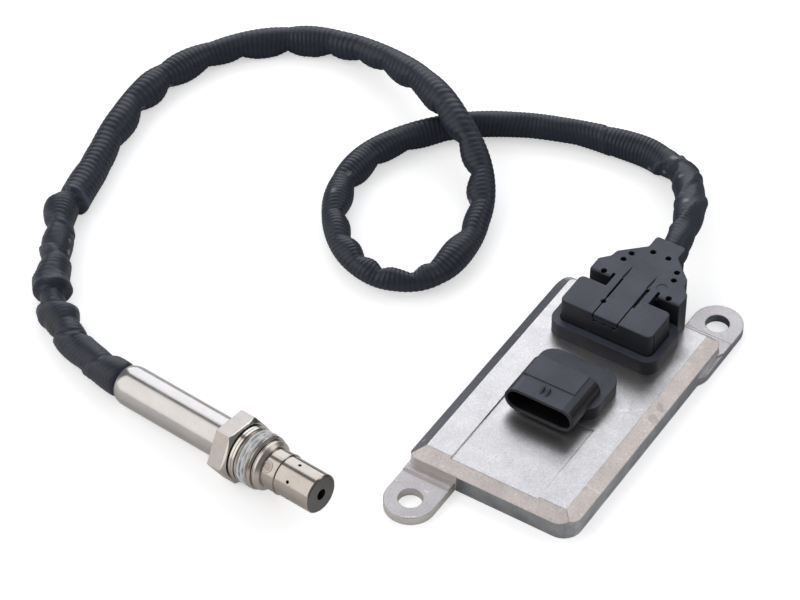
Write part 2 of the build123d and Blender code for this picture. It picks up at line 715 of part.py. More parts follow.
hood_base_plan = offset(hood_plan, -HOOD_WALL, kind=Kind.INTERSECTION)
hood_base = Pos(0, 0, hood_bottom) * extrude(hood_base_plan, HOOD_BASE_T)

# The ferrule and the leads inside the plug

ferrule_start = BORE_START_Y + 1
cable_ferrule = along_y(FERRULE_R, ferrule_start, HOOD_END_Y, HOOD_X, CONDUIT_Z)
cable_ferrule -= along_y(FERRULE_BORE_R, ferrule_start, HOOD_END_Y, HOOD_X, CONDUIT_Z)


def plug_lead(i, x):
    """A lead from its terminal, back over the tower's wall and into the ferrule."""
    across = BUNDLE_R * (i // 2 - 1)
    down = BUNDLE_R * (0.5 - i % 2)
    top = terminal_top + LEAD_RISE
    close_x = PLUG_X + (x - PLUG_X) * 0.58
    path = Polyline((x, PLUG_Y, terminal_top), (x, PLUG_Y, top),
                    (close_x, block_inside - 1, top), (close_x, neck_back + 2, top),
                    (HOOD_X + across, ferrule_start, CONDUIT_Z + down),
                    (HOOD_X + across, HOOD_END_Y, CONDUIT_Z + down))
    start = Plane((x, PLUG_Y, terminal_top))
    return sweep(start * Circle(LEAD_R), path=path, transition=Transition.RIGHT)


plug_leads = [plug_lead(i, x) for i, x in enumerate(tower_pin_x)]

# The probe, built along Z and then laid down on its sleeve and hexagon

hex_apothem = HEX_AF / 2
probe_rise = atan((hex_apothem - SLEEVE_R) / SLEEVE_L)
probe_axis = Vector(cos(probe_rise) * cos(radians(PROBE_TURN)),
                    cos(probe_rise) * sin(radians(PROBE_TURN)), sin(probe_rise))
probe_level = Vector(-sin(radians(PROBE_TURN)), cos(radians(PROBE_TURN)), 0)
probe_start = Vector(PROBE_X, PROBE_Y, hex_apothem * cos(probe_rise))
probe_plane = Plane(probe_start, x_dir=probe_level, z_dir=probe_axis)
lay = probe_plane.location

# Steel sleeve with its end rolled in
sleeve_in = SLEEVE_R - SLEEVE_WALL
mouth_edge = -SLEEVE_L - SLEEVE_LIP
mouth_out = MOUTH_R + SLEEVE_WALL
sleeve_profile = [
    Line((SLEEVE_R, 0, -JOINT_T), (SLEEVE_R, 0, -SLEEVE_L)),
    TangentArc((SLEEVE_R, 0, -SLEEVE_L), (mouth_out, 0, mouth_edge), tangent=(0, 0, -1)),
    Line((mouth_out, 0, mouth_edge), (MOUTH_R, 0, mouth_edge)),
    TangentArc((sleeve_in, 0, -SLEEVE_L), (MOUTH_R, 0, mouth_edge), tangent=(0, 0, -1)),
    Line((sleeve_in, 0, -SLEEVE_L), (sleeve_in, 0, -JOINT_T)),
    Line((sleeve_in, 0, -JOINT_T), (SLEEVE_R, 0, -JOINT_T)),
]
rear_sleeve = revolve(make_face(sleeve_profile), Axis.Z)

# Turned body with its seal ring
ring_start = NUT_END + NUT_PLAY
ring_end = ring_start + RING_L
body_end = ring_end + RING_SLOPE_L
spigot_r = TUBE_BASE_R - TUBE_WALL - FIT
back_spigot_r = sleeve_in - FIT
inner_seat_r = INNER_R + FIT
inner_start = body_end - 0.8
body_front = inner_start + INNER_SEAT_L
sensor_body = turned(
    (BODY_THROAT_R, inner_start), (inner_seat_r, inner_start), (inner_seat_r, body_front),
    (spigot_r, body_front), (spigot_r, body_end), (RING_NOSE_R, body_end), (RING_R, ring_end),
    (RING_R, ring_start), (SLEEVE_R, ring_start), (SLEEVE_R, -JOINT_T),
    (back_spigot_r, -JOINT_T), (back_spigot_r, -JOINT_T - SPIGOT_L),
    (BODY_BORE_R, -JOINT_T - SPIGOT_L), (BODY_BORE_R, THROAT_START),
    (BODY_THROAT_R, THROAT_START))

# Swivel nut with its hexagon, collar and threaded end
nut_bore = SLEEVE_R + NUT_RUN
hex_corner = hex_apothem / cos(radians(30))
gland_nut = extrude(RegularPolygon(hex_apothem, 6, major_radius=False), HEX_END)
gland_nut &= turned((0, 0), (hex_corner, 0), (hex_corner, HEX_L), (HEX_FACE_R, HEX_END),
                    (0, HEX_END))
gland_nut += turned(
    (0, HEX_L), (RELIEF_R, HEX_L), (RELIEF_R, COLLAR_START), (COLLAR_R, COLLAR_START),
    (COLLAR_R, COLLAR_END), (RELIEF_R, COLLAR_END), (RELIEF_R, RELIEF_END),
    (THREAD_R, RELIEF_END), (THREAD_R, THREAD_END), (NUT_NOSE_R, NUT_END), (0, NUT_END))
gland_nut -= rod(nut_bore, 0, NUT_END)

# Outer protection tube with its bead, side holes and end hole
base_end = body_end + TUBE_BASE_L
bead_end = base_end + BEAD_L
outer_protection_tube = turned(
    (TIP_HOLE_R, TUBE_END), (TUBE_R - TUBE_EDGE_R, TUBE_END), (TUBE_R, TUBE_END - TUBE_EDGE_R),
    (TUBE_R, bead_end), (BEAD_R, bead_end), (BEAD_R, base_end), (TUBE_BASE_R, base_end),
    (TUBE_BASE_R, body_end), (TUBE_BASE_R - TUBE_WALL, body_end),
    (TUBE_BASE_R - TUBE_WALL, base_end), (TUBE_R - TUBE_WALL, bead_end),
    (TUBE_R - TUBE_WALL, TUBE_END - TUBE_WALL), (TIP_HOLE_R, TUBE_END - TUBE_WALL))
inner_protection_tube = turned(
    (INNER_TIP_HOLE_R, INNER_END), (INNER_R, INNER_END), (INNER_R, inner_start),
    (INNER_R - INNER_WALL, inner_start), (INNER_R - INNER_WALL, INNER_END - INNER_WALL),
    (INNER_TIP_HOLE_R, INNER_END - INNER_WALL))
for i in range(SIDE_HOLES):
    turn = SIDE_HOLE_TURN + i * 360 / SIDE_HOLES
    drill = Rot(0, 0, turn) * Pos(0, 0, SIDE_HOLE_AT) * Rot(0, 90, 0)
    outer_protection_tube -= drill * extrude(Circle(SIDE_HOLE_R), TUBE_R + 1)
    drill = Rot(0, 0, turn) * Pos(0, 0, INNER_HOLE_AT) * Rot(0, 90, 0)
    inner_protection_tube -= drill * extrude(Circle(INNER_HOLE_R), TUBE_R + 1)

# Sensing element, its ceramics, contact springs, grommet and leads
slot_w = ELEMENT_W + 2 * SLOT_GAP
slot_t = ELEMENT_T + 2 * SLOT_GAP
grommet_front = GROMMET_L - SLEEVE_L
holder_back = grommet_front + HOLDER_GAP
holder_front = holder_back + HOLDER_L
spring_back = holder_back - SPRING_TAIL
spring_front = spring_back + SPRING_L
element_back = holder_back + ELEMENT_INSET
sensing_element = slab(ELEMENT_W, ELEMENT_T, element_back, ELEMENT_FRONT)
filling_r = BODY_BORE_R - FIT


def filling(z0, z1):
    """A round filling of the body's bore with a slot for the element."""
    return rod(filling_r, z0, z1) - slab(slot_w, slot_t, z0, z1)


rear_insulator = filling(INSULATOR_BACK, TALC_BACK)
talc_packing = filling(TALC_BACK, TALC_FRONT)
front_insulator = filling(TALC_FRONT, THROAT_START)
contact_holder = rod(HOLDER_R, holder_back, holder_front)
contact_holder -= slab(HOLDER_SLOT_W, HOLDER_SLOT_T, holder_back, holder_front)
spring_y = ELEMENT_T / 2 + SPRING_T / 2
lead_places = [(x, side * PROBE_LEAD_Y) for x in row(3, PROBE_LEAD_X) for side in (-1, 1)]
contact_springs = []
for x in row(3, SPRING_PITCH):
    for side in (-1, 1):
        spring = slab(SPRING_W, SPRING_T, spring_back, spring_front, x, side * spring_y)
        contact_springs.append(spring)
cable_grommet = rod(back_spigot_r, -SLEEVE_L, grommet_front)
probe_leads = []
for x, y in lead_places:
    cable_grommet -= rod(LEAD_R + FIT, -SLEEVE_L, grommet_front, x, y)
    probe_leads.append(rod(LEAD_R, -SLEEVE_L, spring_back, x, y))

# The conduit, laid on the floor from the probe's sleeve round to the hood


def on_probe(t):
    """A point on the probe's axis."""
    return probe_start + probe_axis * t


FLOOR_Z = CONDUIT_R + 0.2
conduit_points = [
    on_probe(-SLEEVE_L), on_probe(-SLEEVE_L - FIRST_RUN),
    (-171.8, -64.0, 5.4), (-190.1, -44.9, FLOOR_Z), (-206.9, -17.5, FLOOR_Z),
    (-213.8, 10.0, FLOOR_Z), (-220.0, 43.4, FLOOR_Z), (-220.5, 69.7, FLOOR_Z),
    (-211.3, 92.9, FLOOR_Z), (-194.8, 111.6, FLOOR_Z), (-175.3, 120.9, 6.4),
    (-152.1, 120.0, 14.0), (-125.4, 109.5, HUMP_Z), (-102.5, 94.4, HUMP_Z),
    (-85.7, 82.5, 13.5), (-74.2, 63.8, FLOOR_Z), (-70.4, 40.6, FLOOR_Z),
    (-73.5, 27.0, FLOOR_Z), (-82.1, 19.2, FLOOR_Z), (-94.0, 17.3, FLOOR_Z),
    (-110.9, 23.4, FLOOR_Z), (-126.2, 39.6, FLOOR_Z), (-132.1, 58.9, FLOOR_Z),
    (-127.3, 80.3, FLOOR_Z), (-113.1, 101.5, FLOOR_Z), (-92.5, 116.7, FLOOR_Z),
    (-63.8, 126.4, FLOOR_Z), (-38.5, 129.2, FLOOR_Z), (-23.5, 124.3, 7.4),
    (-12.2, 109.2, 12.6), (HOOD_X, HOOD_END_Y + LAST_RUN, CONDUIT_Z),
    (HOOD_X, HOOD_END_Y, CONDUIT_Z),
]


def bend_radii(points):
    """The largest arc that each corner's two runs allow."""
    points = [Vector(*p) if isinstance(p, tuple) else p for p in points]
    radii = []
    for a, b, c in zip(points, points[1:], points[2:]):
        turn = radians((b - a).get_angle(c - b))
        radii.append(0.45 * min((b - a).length, (c - b).length) / tan(turn / 2))
    return radii


radii = bend_radii(conduit_points)
conduit_path = FilletPolyline(*conduit_points, radius=radii)
conduit_start = Plane(conduit_path @ 0, z_dir=conduit_path % 0)
conduit = sweep(conduit_start * Circle(CONDUIT_R), path=conduit_path)
print("conduit radii", [round(r, 1) for r in radii])
print("conduit length", round(conduit_path.length, 1))

nodes = {
    "housing": housing,
    "base_plate": base_plate,
    "lid_gasket": lid_gasket,
    "lid_screws": Compound(lid_screws),
    "circuit_board": circuit_board,
    "processor": processor,
    "driver_chips": Compound(driver_chips),
    "capacitors": Compound(capacitors),
    "choke_coil": choke_coil,
    "board_screws": Compound(board_screws),
    "vehicle_header": vehicle_header,
    "vehicle_pins": Compound(vehicle_pins),
    "vehicle_gasket": vehicle_gasket,
    "sensor_header": sensor_header,
    "sensor_pins": Compound(sensor_pins),
    "sensor_gasket": sensor_gasket,
    "plug_cover": plug_cover,
    "hood_base": hood_base,
    "plug_carrier": plug_carrier,
    "plug_terminals": Compound(plug_terminals),
    "plug_seal": plug_seal,
    "plug_leads": Compound(plug_leads),
    "cable_ferrule": cable_ferrule,
    "conduit": conduit,
    "rear_sleeve": lay * rear_sleeve,
    "cable_grommet": lay * cable_grommet,
    "probe_leads": lay * Compound(probe_leads),
    "contact_holder": lay * contact_holder,
    "contact_springs": lay * Compound(contact_springs),
    "sensor_body": lay * sensor_body,
    "rear_insulator": lay * rear_insulator,
    "talc_packing": lay * talc_packing,
    "front_insulator": lay * front_insulator,
    "sensing_element": lay * sensing_element,
    "gland_nut": lay * gland_nut,
    "inner_protection_tube": lay * inner_protection_tube,
    "outer_protection_tube": lay * outer_protection_tube,
}

os.makedirs("parts", exist_ok=True)
for name, shape in nodes.items():
    export_step(shape, f"parts/{name}.step")
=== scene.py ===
import bpy
import numpy as np
from math import cos, pi, radians, sin, tau
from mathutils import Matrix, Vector, noise


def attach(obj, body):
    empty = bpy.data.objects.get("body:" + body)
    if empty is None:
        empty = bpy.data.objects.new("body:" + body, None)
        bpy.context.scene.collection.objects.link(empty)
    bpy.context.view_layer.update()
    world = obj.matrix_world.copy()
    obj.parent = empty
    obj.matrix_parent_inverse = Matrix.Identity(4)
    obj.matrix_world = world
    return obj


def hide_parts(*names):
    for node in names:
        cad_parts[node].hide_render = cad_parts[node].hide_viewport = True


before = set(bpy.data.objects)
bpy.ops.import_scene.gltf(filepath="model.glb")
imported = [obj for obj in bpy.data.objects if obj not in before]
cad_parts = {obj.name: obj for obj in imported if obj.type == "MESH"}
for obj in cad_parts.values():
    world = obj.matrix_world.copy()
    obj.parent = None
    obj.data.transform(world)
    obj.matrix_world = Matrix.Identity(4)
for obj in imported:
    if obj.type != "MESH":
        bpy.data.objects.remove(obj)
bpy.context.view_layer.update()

MM = 0.001
scene = bpy.context.scene


# The camera stands where the photograph's did, far off with a long lens.
CAMERA_PLACE = (0.391851, -0.719556, 0.860292)
CAMERA_ANGLES = (45.4726, 0.0521, 32.6054)
LENS_LENGTH = 153
SENSOR_WIDTH = 36
FARTHEST_SEEN = 20

bpy.ops.object.camera_add(location=CAMERA_PLACE)
camera = bpy.context.object
camera.rotation_euler = [radians(a) for a in CAMERA_ANGLES]
camera.data.sensor_width = SENSOR_WIDTH
camera.data.lens = LENS_LENGTH
camera.data.clip_end = FARTHEST_SEEN
scene.camera = camera
scene.view_settings.view_transform = "Standard"


# Meshes


def nothing_selected():
    """Leaves edit mode and deselects everything."""
    if bpy.context.mode != "OBJECT":
        bpy.ops.object.mode_set(mode="OBJECT")
    bpy.ops.object.select_all(action="DESELECT")


def only(piece):
    """Makes this piece the only one selected, and active."""
    nothing_selected()
    piece.select_set(True)
    bpy.context.view_layer.objects.active = piece


def edited(piece, *steps):
    """Runs edit mode operators on the whole of a piece, each with its settings."""
    only(piece)
    bpy.ops.object.mode_set(mode="EDIT")
    bpy.ops.mesh.select_all(action="SELECT")
    for operator, settings in steps:
        operator(**settings)
    bpy.ops.object.mode_set(mode="OBJECT")


def new_mesh(name, vertices, faces):
    """A new object from a list of points and faces."""
    mesh = bpy.data.meshes.new(name)
    mesh.from_pydata(vertices, [], faces)
    mesh.update()
    piece = bpy.data.objects.new(name, mesh)
    scene.collection.objects.link(piece)
    return piece


def copy_of(node, name):
    """A copy of a CAD solid's mesh with its triangles joined up again."""
    piece = bpy.data.objects.new(name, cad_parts[node].data.copy())
    scene.collection.objects.link(piece)
    piece.data.materials.clear()
    edited(piece, (bpy.ops.mesh.remove_doubles, {"threshold": 0.002 * MM}),
           (bpy.ops.mesh.dissolve_limited, {"angle_limit": radians(1)}))
    return piece


def painted(piece, name, values):
    """Stores a number for each point of a piece, for its material to read."""
    shade = piece.data.attributes.new(name, "FLOAT", "POINT")
    shade.data.foreach_set("value", np.array(values, np.float32))


def dressed(piece, body, finish, *nodes):
    """Gives a new piece its body, its finish and the CAD nodes that it stands for."""
    piece.data.materials.clear()
    piece.data.materials.append(finish)
    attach(piece, body)
    if nodes:
        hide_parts(*nodes)


# Shader nodes


def feed(tree, node, inputs):
    """Puts values or links on a node's inputs."""
    for key, value in inputs.items():
        if isinstance(value, bpy.types.NodeSocket):
            tree.links.new(value, node.inputs[key])
        else:
            node.inputs[key].default_value = value


def put(tree, kind, inputs=None, **settings):
    """Adds a shader node, with its settings and with values or links on its inputs."""
    made = tree.nodes.new("ShaderNode" + kind)
    for key, value in settings.items():
        setattr(made, key, value)
    feed(tree, made, inputs or {})
    return made


def finish_of(name, **values):
    """A new material with these values on its shader."""
    made = bpy.data.materials.new(name)
    made.use_nodes = True
    shader = made.node_tree.nodes["Principled BSDF"]
    feed(made.node_tree, shader, {key.replace("_", " "): values[key] for key in values})
    return made, made.node_tree, shader


def group(name, inputs, outputs):
    """A shader node group with these sockets, each given as name: (kind, value)."""
    made = bpy.data.node_groups.new(name, "ShaderNodeTree")
    for key, (kind, value) in inputs.items():
        socket = made.interface.new_socket(key, in_out="INPUT", socket_type="NodeSocket" + kind)
        if value is not None:
            socket.default_value = value
    for key, kind in outputs.items():
        made.interface.new_socket(key, in_out="OUTPUT", socket_type="NodeSocket" + kind)
    start = made.nodes.new("NodeGroupInput")
    end = made.nodes.new("NodeGroupOutput")
    return made, start.outputs, end


def mix(tree, factor, a, b, blend="MIX"):
    """Mixes two colours."""
    return put(tree, "Mix", {0: factor, 6: a, 7: b}, data_type="RGBA", blend_type=blend).outputs[2]


def spread(tree, value, low, high, to_low=0.0, to_high=1.0):
    """Stretches the part of a value between low and high over a new range."""
    keys = {"Value": value, "From Min": low, "From Max": high, "To Min": to_low, "To Max": to_high}
    return put(tree, "MapRange", keys).outputs[0]


def maths(tree, how, *values):
    """Works on one value or on two."""
    return put(tree, "Math", dict(enumerate(values)), operation=how).outputs[0]


def times(tree, a, b):
    """Two masks at once."""
    return maths(tree, "MULTIPLY", a, b)


def cloud(tree, at, scale, detail, **more):
    """The value of a noise texture."""
    inputs = {"Vector": at, "Scale": scale, "Detail": detail, **more}
    return put(tree, "TexNoise", inputs).outputs[0]


def here(tree):
    """Object coordinates."""
    return put(tree, "TexCoord").outputs["Object"]


def parts(tree, vector):
    """The X, Y and Z of a vector."""
    return put(tree, "SeparateXYZ", {0: vector}).outputs


def facing(tree):
    """Which way a face points: Z is one on level faces and nought on upright ones."""
    return parts(tree, put(tree, "NewGeometry").outputs["Normal"])


def stored(tree, name):
    """A number that is stored on the mesh."""
    return put(tree, "Attribute", attribute_name=name).outputs["Fac"]


def within(tree, value, middle, half, soft=0.2 * MM):
    """One where a length is near enough to a middle value, nought elsewhere."""
    size = maths(tree, "ABSOLUTE", maths(tree, "SUBTRACT", value, middle))
    return spread(tree, size, half, half + soft, 1.0, 0.0)


def in_box(tree, place, box):
    """One inside a box that is given as axis: (middle, half its size)."""
    found = None
    for axis, (middle, half) in box.items():
        inside = within(tree, place[axis], middle, half)
        found = times(tree, found, inside) if found else inside
    return found


def tinted(colour, by):
    """A colour made darker or lighter."""
    return [c * by for c in colour[:3]] + [1]


def make_mottle():
    """Uneven cloudy patches with fine specks in them."""
    sockets = {"Vector": ("Vector", None), "Scale": ("Float", 60.0), "Light": ("Color", None),
               "Dark": ("Color", None), "Fine": ("Float", 0.3)}
    made, given, result = group("mottle", sockets, {"Color": "Color", "Mask": "Float"})
    wide = cloud(made, given["Vector"], given["Scale"], 5.0, Roughness=0.62)
    fine = cloud(made, given["Vector"], times(made, given["Scale"], 14.0), 3.0, Roughness=0.7)
    both = put(made, "Mix", {0: given["Fine"], 2: spread(made, wide, 0.36, 0.66),
                             3: spread(made, fine, 0.35, 0.68)}, data_type="FLOAT").outputs[0]
    feed(made, result, {"Mask": both, "Color": mix(made, both, given["Dark"], given["Light"])})
    return made


def make_streaks():
    """Long thin marks that run along one direction, as handling and turning leave."""
    sockets = {"Vector": ("Vector", None), "Along": ("Vector", None), "Scale": ("Float", 900.0),
               "Share": ("Float", 0.5)}
    made, given, result = group("streaks", sockets, {"Mask": "Float"})
    length = put(made, "VectorMath", {0: given["Vector"], 1: given["Along"]},
                 operation="DOT_PRODUCT").outputs["Value"]
    run = put(made, "VectorMath", {0: given["Along"], "Scale": length}, operation="SCALE")
    most = put(made, "VectorMath", {0: run.outputs[0], "Scale": 0.96}, operation="SCALE")
    flat = put(made, "VectorMath", {0: given["Vector"], 1: most.outputs[0]}, operation="SUBTRACT")
    lines = cloud(made, flat.outputs[0], given["Scale"], 2.0)
    high = maths(made, "ADD", given["Share"], 0.07)
    feed(made, result, {"Mask": spread(made, lines, given["Share"], high)})
    return made


mottle = make_mottle()
streaks = make_streaks()


def mottled(tree, at, scale, light, dark, fine=0.3):
    """Cloudy patches between two colours, as a colour and a mask."""
    return put(tree, "Group", {"Vector": at, "Scale": scale, "Light": light, "Dark": dark,
                               "Fine": fine}, node_tree=mottle).outputs


def streaked(tree, at, along, scale, share):
    """A mask of streaks along a direction; the lower the share, the more of them."""
    return put(tree, "Group", {"Vector": at, "Along": along, "Scale": scale, "Share": share},
               node_tree=streaks).outputs["Mask"]


def grained(tree, shader, height, strength, distance, edge=0.0):
    """Bumps a surface, and makes its edges look moulded with a small radius."""
    bump = put(tree, "Bump", {"Strength": strength, "Distance": distance, "Height": height})
    if edge:
        soft = put(tree, "Bevel", {"Radius": edge}, samples=6)
        feed(tree, bump, {"Normal": soft.outputs[0]})
    feed(tree, shader, {"Normal": bump.outputs[0]})


def stained(tree, at, spots):
    """Ragged stains, each given as a place and a size."""
    found = None
    for place, size in spots:
        off = put(tree, "VectorMath", {0: at, 1: place}, operation="DISTANCE").outputs["Value"]
        near = spread(tree, off, 0.0, size, 1.0, 0.0)
        found = maths(tree, "MAXIMUM", found or near, near)
    ragged = maths(tree, "ADD", found, cloud(tree, at, 520.0, 3.0))
    return times(tree, spread(tree, ragged, 0.85, 1.05), spread(tree, found, 0.0, 0.1))


# Materials. A pair of tones is a light and a dark one, and a tint multiplies what lies under
# it. Scuffs run along a direction. Boxes and stains are placed in metres.
CAST_TONES = (0.82, 0.805, 0.81, 1), (0.62, 0.608, 0.618, 1)
# Painted shade: the walls get darker tones than the tops, for the light they miss.
CAST_WALL_PAINTED_SHADE_TONES = (0.47, 0.48, 0.50, 1), (0.27, 0.28, 0.295, 1)
# Painted light: walls that face right are lightened.
RIGHT_WALL_PAINTED_LIGHT_TINT = (1.7, 1.7, 1.7, 1)
LUG_TINT = (0.74, 0.715, 0.72, 1)
# Painted shade, warmed: sloped faces are made darker and warmer.
SLOPE_PAINTED_SHADE_TINT = (0.86, 0.815, 0.79, 1)
# Painted reflection: faces turned left are darkened to a bluish tone.
LEFT_SLOPE_PAINTED_REFLECTION_TINT = (0.34, 0.38, 0.44, 1)
LUG_RIM_TONE = (0.80, 0.77, 0.74, 1)
STAIN_TONE = (0.17, 0.19, 0.23, 1)
CHIP_TONE = (0.99, 0.98, 0.97, 1)
PIT_TONE = (0.30, 0.30, 0.31, 1)
CAST_SCUFFS = (0.82, 0.57, 0.0)
# The lugs' tops lie below the first of these heights, and the body's shoulders above the second.
LUGS_BELOW, BODY_ABOVE = 0.0045, 0.0055
# The front lug, whose rim is paler than the casting's walls.
FRONT_LUG = {"X": (-0.0237, 0.0096), "Y": (-0.07, 0.03)}
STAINS = [
    ((0.0292, 0.0135, 0.0083), 0.0030), ((0.0300, 0.0075, 0.0082), 0.0034),
    ((0.0290, -0.0480, 0.0030), 0.0055),
]


def cast_finish():
    """Die-cast aluminium: pale and cloudy on top and smeared down its sides, with painted shade
    darkening its upright walls, painted light on its right-facing walls, a warm painted shade on
    its slopes and a bluish painted reflection on faces turned left.
    """
    made, tree, shader = finish_of("cast_aluminium_finish", Metallic=1.0)
    at = here(tree)
    place, way = parts(tree, at), facing(tree)
    side = mottled(tree, at, 120.0, *CAST_WALL_PAINTED_SHADE_TONES, fine=0.4)
    # Painted light: faces turned right are lightened.
    rightward = spread(tree, way["X"], 0.5, 0.9)
    walls = mix(tree, rightward, side["Color"], RIGHT_WALL_PAINTED_LIGHT_TINT, "MULTIPLY")
    walls = mix(tree, in_box(tree, place, FRONT_LUG), walls, LUG_RIM_TONE)
    skin = mottled(tree, at, 110.0, *CAST_TONES, fine=0.7)
    low = spread(tree, place["Z"], LUGS_BELOW, BODY_ABOVE, 1.0, 0.0)
    tops = mix(tree, low, skin["Color"], LUG_TINT, "MULTIPLY")
    # Painted shade, warmed: sloped faces are made darker and warmer.
    sloped = spread(tree, way["Z"], 0.8, 0.95, 1.0, 0.0)
    tops = mix(tree, sloped, tops, SLOPE_PAINTED_SHADE_TINT, "MULTIPLY")
    # Painted reflection: faces turned left are darkened to a bluish tone.
    leftward = spread(tree, way["X"], -0.6, -0.3, 1.0, 0.0)
    tops = mix(tree, leftward, tops, LEFT_SLOPE_PAINTED_REFLECTION_TINT, "MULTIPLY")
    # Painted shade: upright faces take the darker wall tones.
    level = spread(tree, way["Z"], 0.25, 0.7)
    shades = mix(tree, level, walls, tops)
    shades = mix(tree, times(tree, stained(tree, at, STAINS), 0.3), shades, STAIN_TONE)
    nicks = cloud(tree, at, 1100.0, 1.0)
    chips = spread(tree, nicks, 0.71, 0.75)
    pits = times(tree, spread(tree, nicks, 0.25, 0.29, 0.35, 0.0), level)
    marks = maths(tree, "MAXIMUM", streaked(tree, at, CAST_SCUFFS, 420.0, 0.665), chips)
    faint = times(tree, times(tree, marks, level), spread(tree, skin["Mask"], 0.3, 0.8, 0.1, 0.7))
    marked = mix(tree, faint, shades, CHIP_TONE)
    feed(tree, shader, {"Base Color": mix(tree, pits, marked, PIT_TONE),
                        "Roughness": spread(tree, skin["Mask"], 0, 1, 0.42, 0.32)})
    grained(tree, shader, cloud(tree, at, 1500.0, 4.0), 0.35, 0.05 * MM, edge=0.5 * MM)
    return made


# The inside of the open header's socket, which hardly any light reaches, is painted near-black as
# shade.
SOCKET = {"X": (-0.00235, 0.0129), "Z": (0.0157, 0.0042), "Y": (-0.006, 0.0098)}
SOCKET_PAINTED_SHADE_TONE = (0.004, 0.004, 0.005, 1)
PLASTIC_SCUFFS = (0.7, 0.7, 0.0)


def plastic_finish(name, light, dark, rough, hollow=False):
    """Moulded plastic with a faint bloom, with painted shade making its sides darker and, in the
    header, its socket near-black.
    """
    made, tree, shader = finish_of(name, Specular_IOR_Level=0.5)
    at = here(tree)
    skin = mottled(tree, at, 70.0, light, dark)
    # Painted shade: upright faces get a much darker tone than the tops.
    level = spread(tree, facing(tree)["Z"], 0.35, 0.95)
    shades = mix(tree, level, tinted(dark, 0.3), skin["Color"])
    if hollow:
        # Painted shade: the socket's inside is made near-black.
        shades = mix(tree, in_box(tree, parts(tree, at), SOCKET), shades, SOCKET_PAINTED_SHADE_TONE)
    else:
        faint = times(tree, streaked(tree, at, PLASTIC_SCUFFS, 500.0, 0.67),
                      spread(tree, skin["Mask"], 0.4, 0.9, 0.0, 0.35))
        shades = mix(tree, faint, shades, tinted(light, 2.4))
    feed(tree, shader, {"Base Color": shades, "Roughness": spread(tree, skin["Mask"], 0, 1,
                                                                  rough + 0.1, rough - 0.04)})
    grained(tree, shader, cloud(tree, at, 2600.0, 4.0), 0.25, 0.02 * MM, edge=0.5 * MM)
    return made


CONDUIT_TONES = (0.029, 0.035, 0.050, 1), (0.019, 0.023, 0.034, 1)
PINCHED_TONE = (0.30, 0.31, 0.34, 1)
# Painted highlight: rib tops are lightened toward this tone.
RIB_HIGHLIGHT_TONE = (0.052, 0.060, 0.082, 1)
# Painted highlight: the tops of the folds are lightened toward this bluish tone.
FOLD_HIGHLIGHT_TONE = (0.085, 0.10, 0.135, 1)


def conduit_finish():
    """Thin black plastic with painted highlights on its ribs and on the tops of its folds, and
    pale where it is pinched.
    """
    made, tree, shader = finish_of("conduit_finish", Specular_IOR_Level=0.34)
    at = here(tree)
    skin = mottled(tree, at, 90.0, *CONDUIT_TONES, fine=0.35)
    ragged = times(tree, stored(tree, "pinched"), cloud(tree, at, 900.0, 4.0, Distortion=1.5))
    shown = mix(tree, spread(tree, ragged, 0.22, 0.5, 0.0, 0.75), skin["Color"], PINCHED_TONE)
    # Painted highlight on the rib tops.
    marked = mix(tree, spread(tree, stored(tree, "rib"), 0.5, 1.0, 0.0, 0.3), shown, RIB_HIGHLIGHT_TONE)
    # Painted highlight along the tops of the folds, patchy.
    patchy_fold_highlight = times(tree, stored(tree, "fold_highlight"), spread(tree, skin["Mask"], 0.2, 0.8, 0.15, 0.8))
    feed(tree, shader, {"Base Color": mix(tree, patchy_fold_highlight, marked, FOLD_HIGHLIGHT_TONE),
                        "Roughness": spread(tree, skin["Mask"], 0, 1, 0.34, 0.46)})
    return made


def steel_finish(name, light, dark, rough, scale=120.0):
    """Bare metal with cloudy patches of tint."""
    made, tree, shader = finish_of(name, Metallic=1.0)
    skin = mottled(tree, here(tree), scale, light, dark, fine=0.35)
    feed(tree, shader, {"Base Color": skin["Color"],
                        "Roughness": spread(tree, skin["Mask"], 0, 1, rough, rough + 0.08)})
    return made


# The probe's axis: where the nut's hexagon starts, and three directions, the last along it.
NUT_PLACE = Vector((-0.0849, -0.0822, 0.010969))
NUT_X = Vector((0.1374, 0.9905, 0.0))
NUT_Y = Vector((-0.0743, 0.0103, 0.9972))
NUT_AXIS = Vector((0.98771552, -0.13705685, 0.07505651))

# Fine lines turned into the nut's collar and the seal ring, in millimetres along that axis.
TURNED_LINES = (7.6, 8.7, 17.5)

# Where along that axis, in metres, these have a tone of their own.
HEXAGON = (-0.001, 0.00592)
SEAL_RING_FRONT = (0.018, 0.02)
TUBE_END = (0.0407, 0.05)


def along_probe(tree, at):
    """How far along the probe a point is, from the back of the hexagon."""
    off = put(tree, "VectorMath", {0: at, 1: NUT_PLACE}, operation="SUBTRACT")
    far = put(tree, "VectorMath", {0: off.outputs[0], 1: NUT_AXIS}, operation="DOT_PRODUCT")
    return far.outputs["Value"]


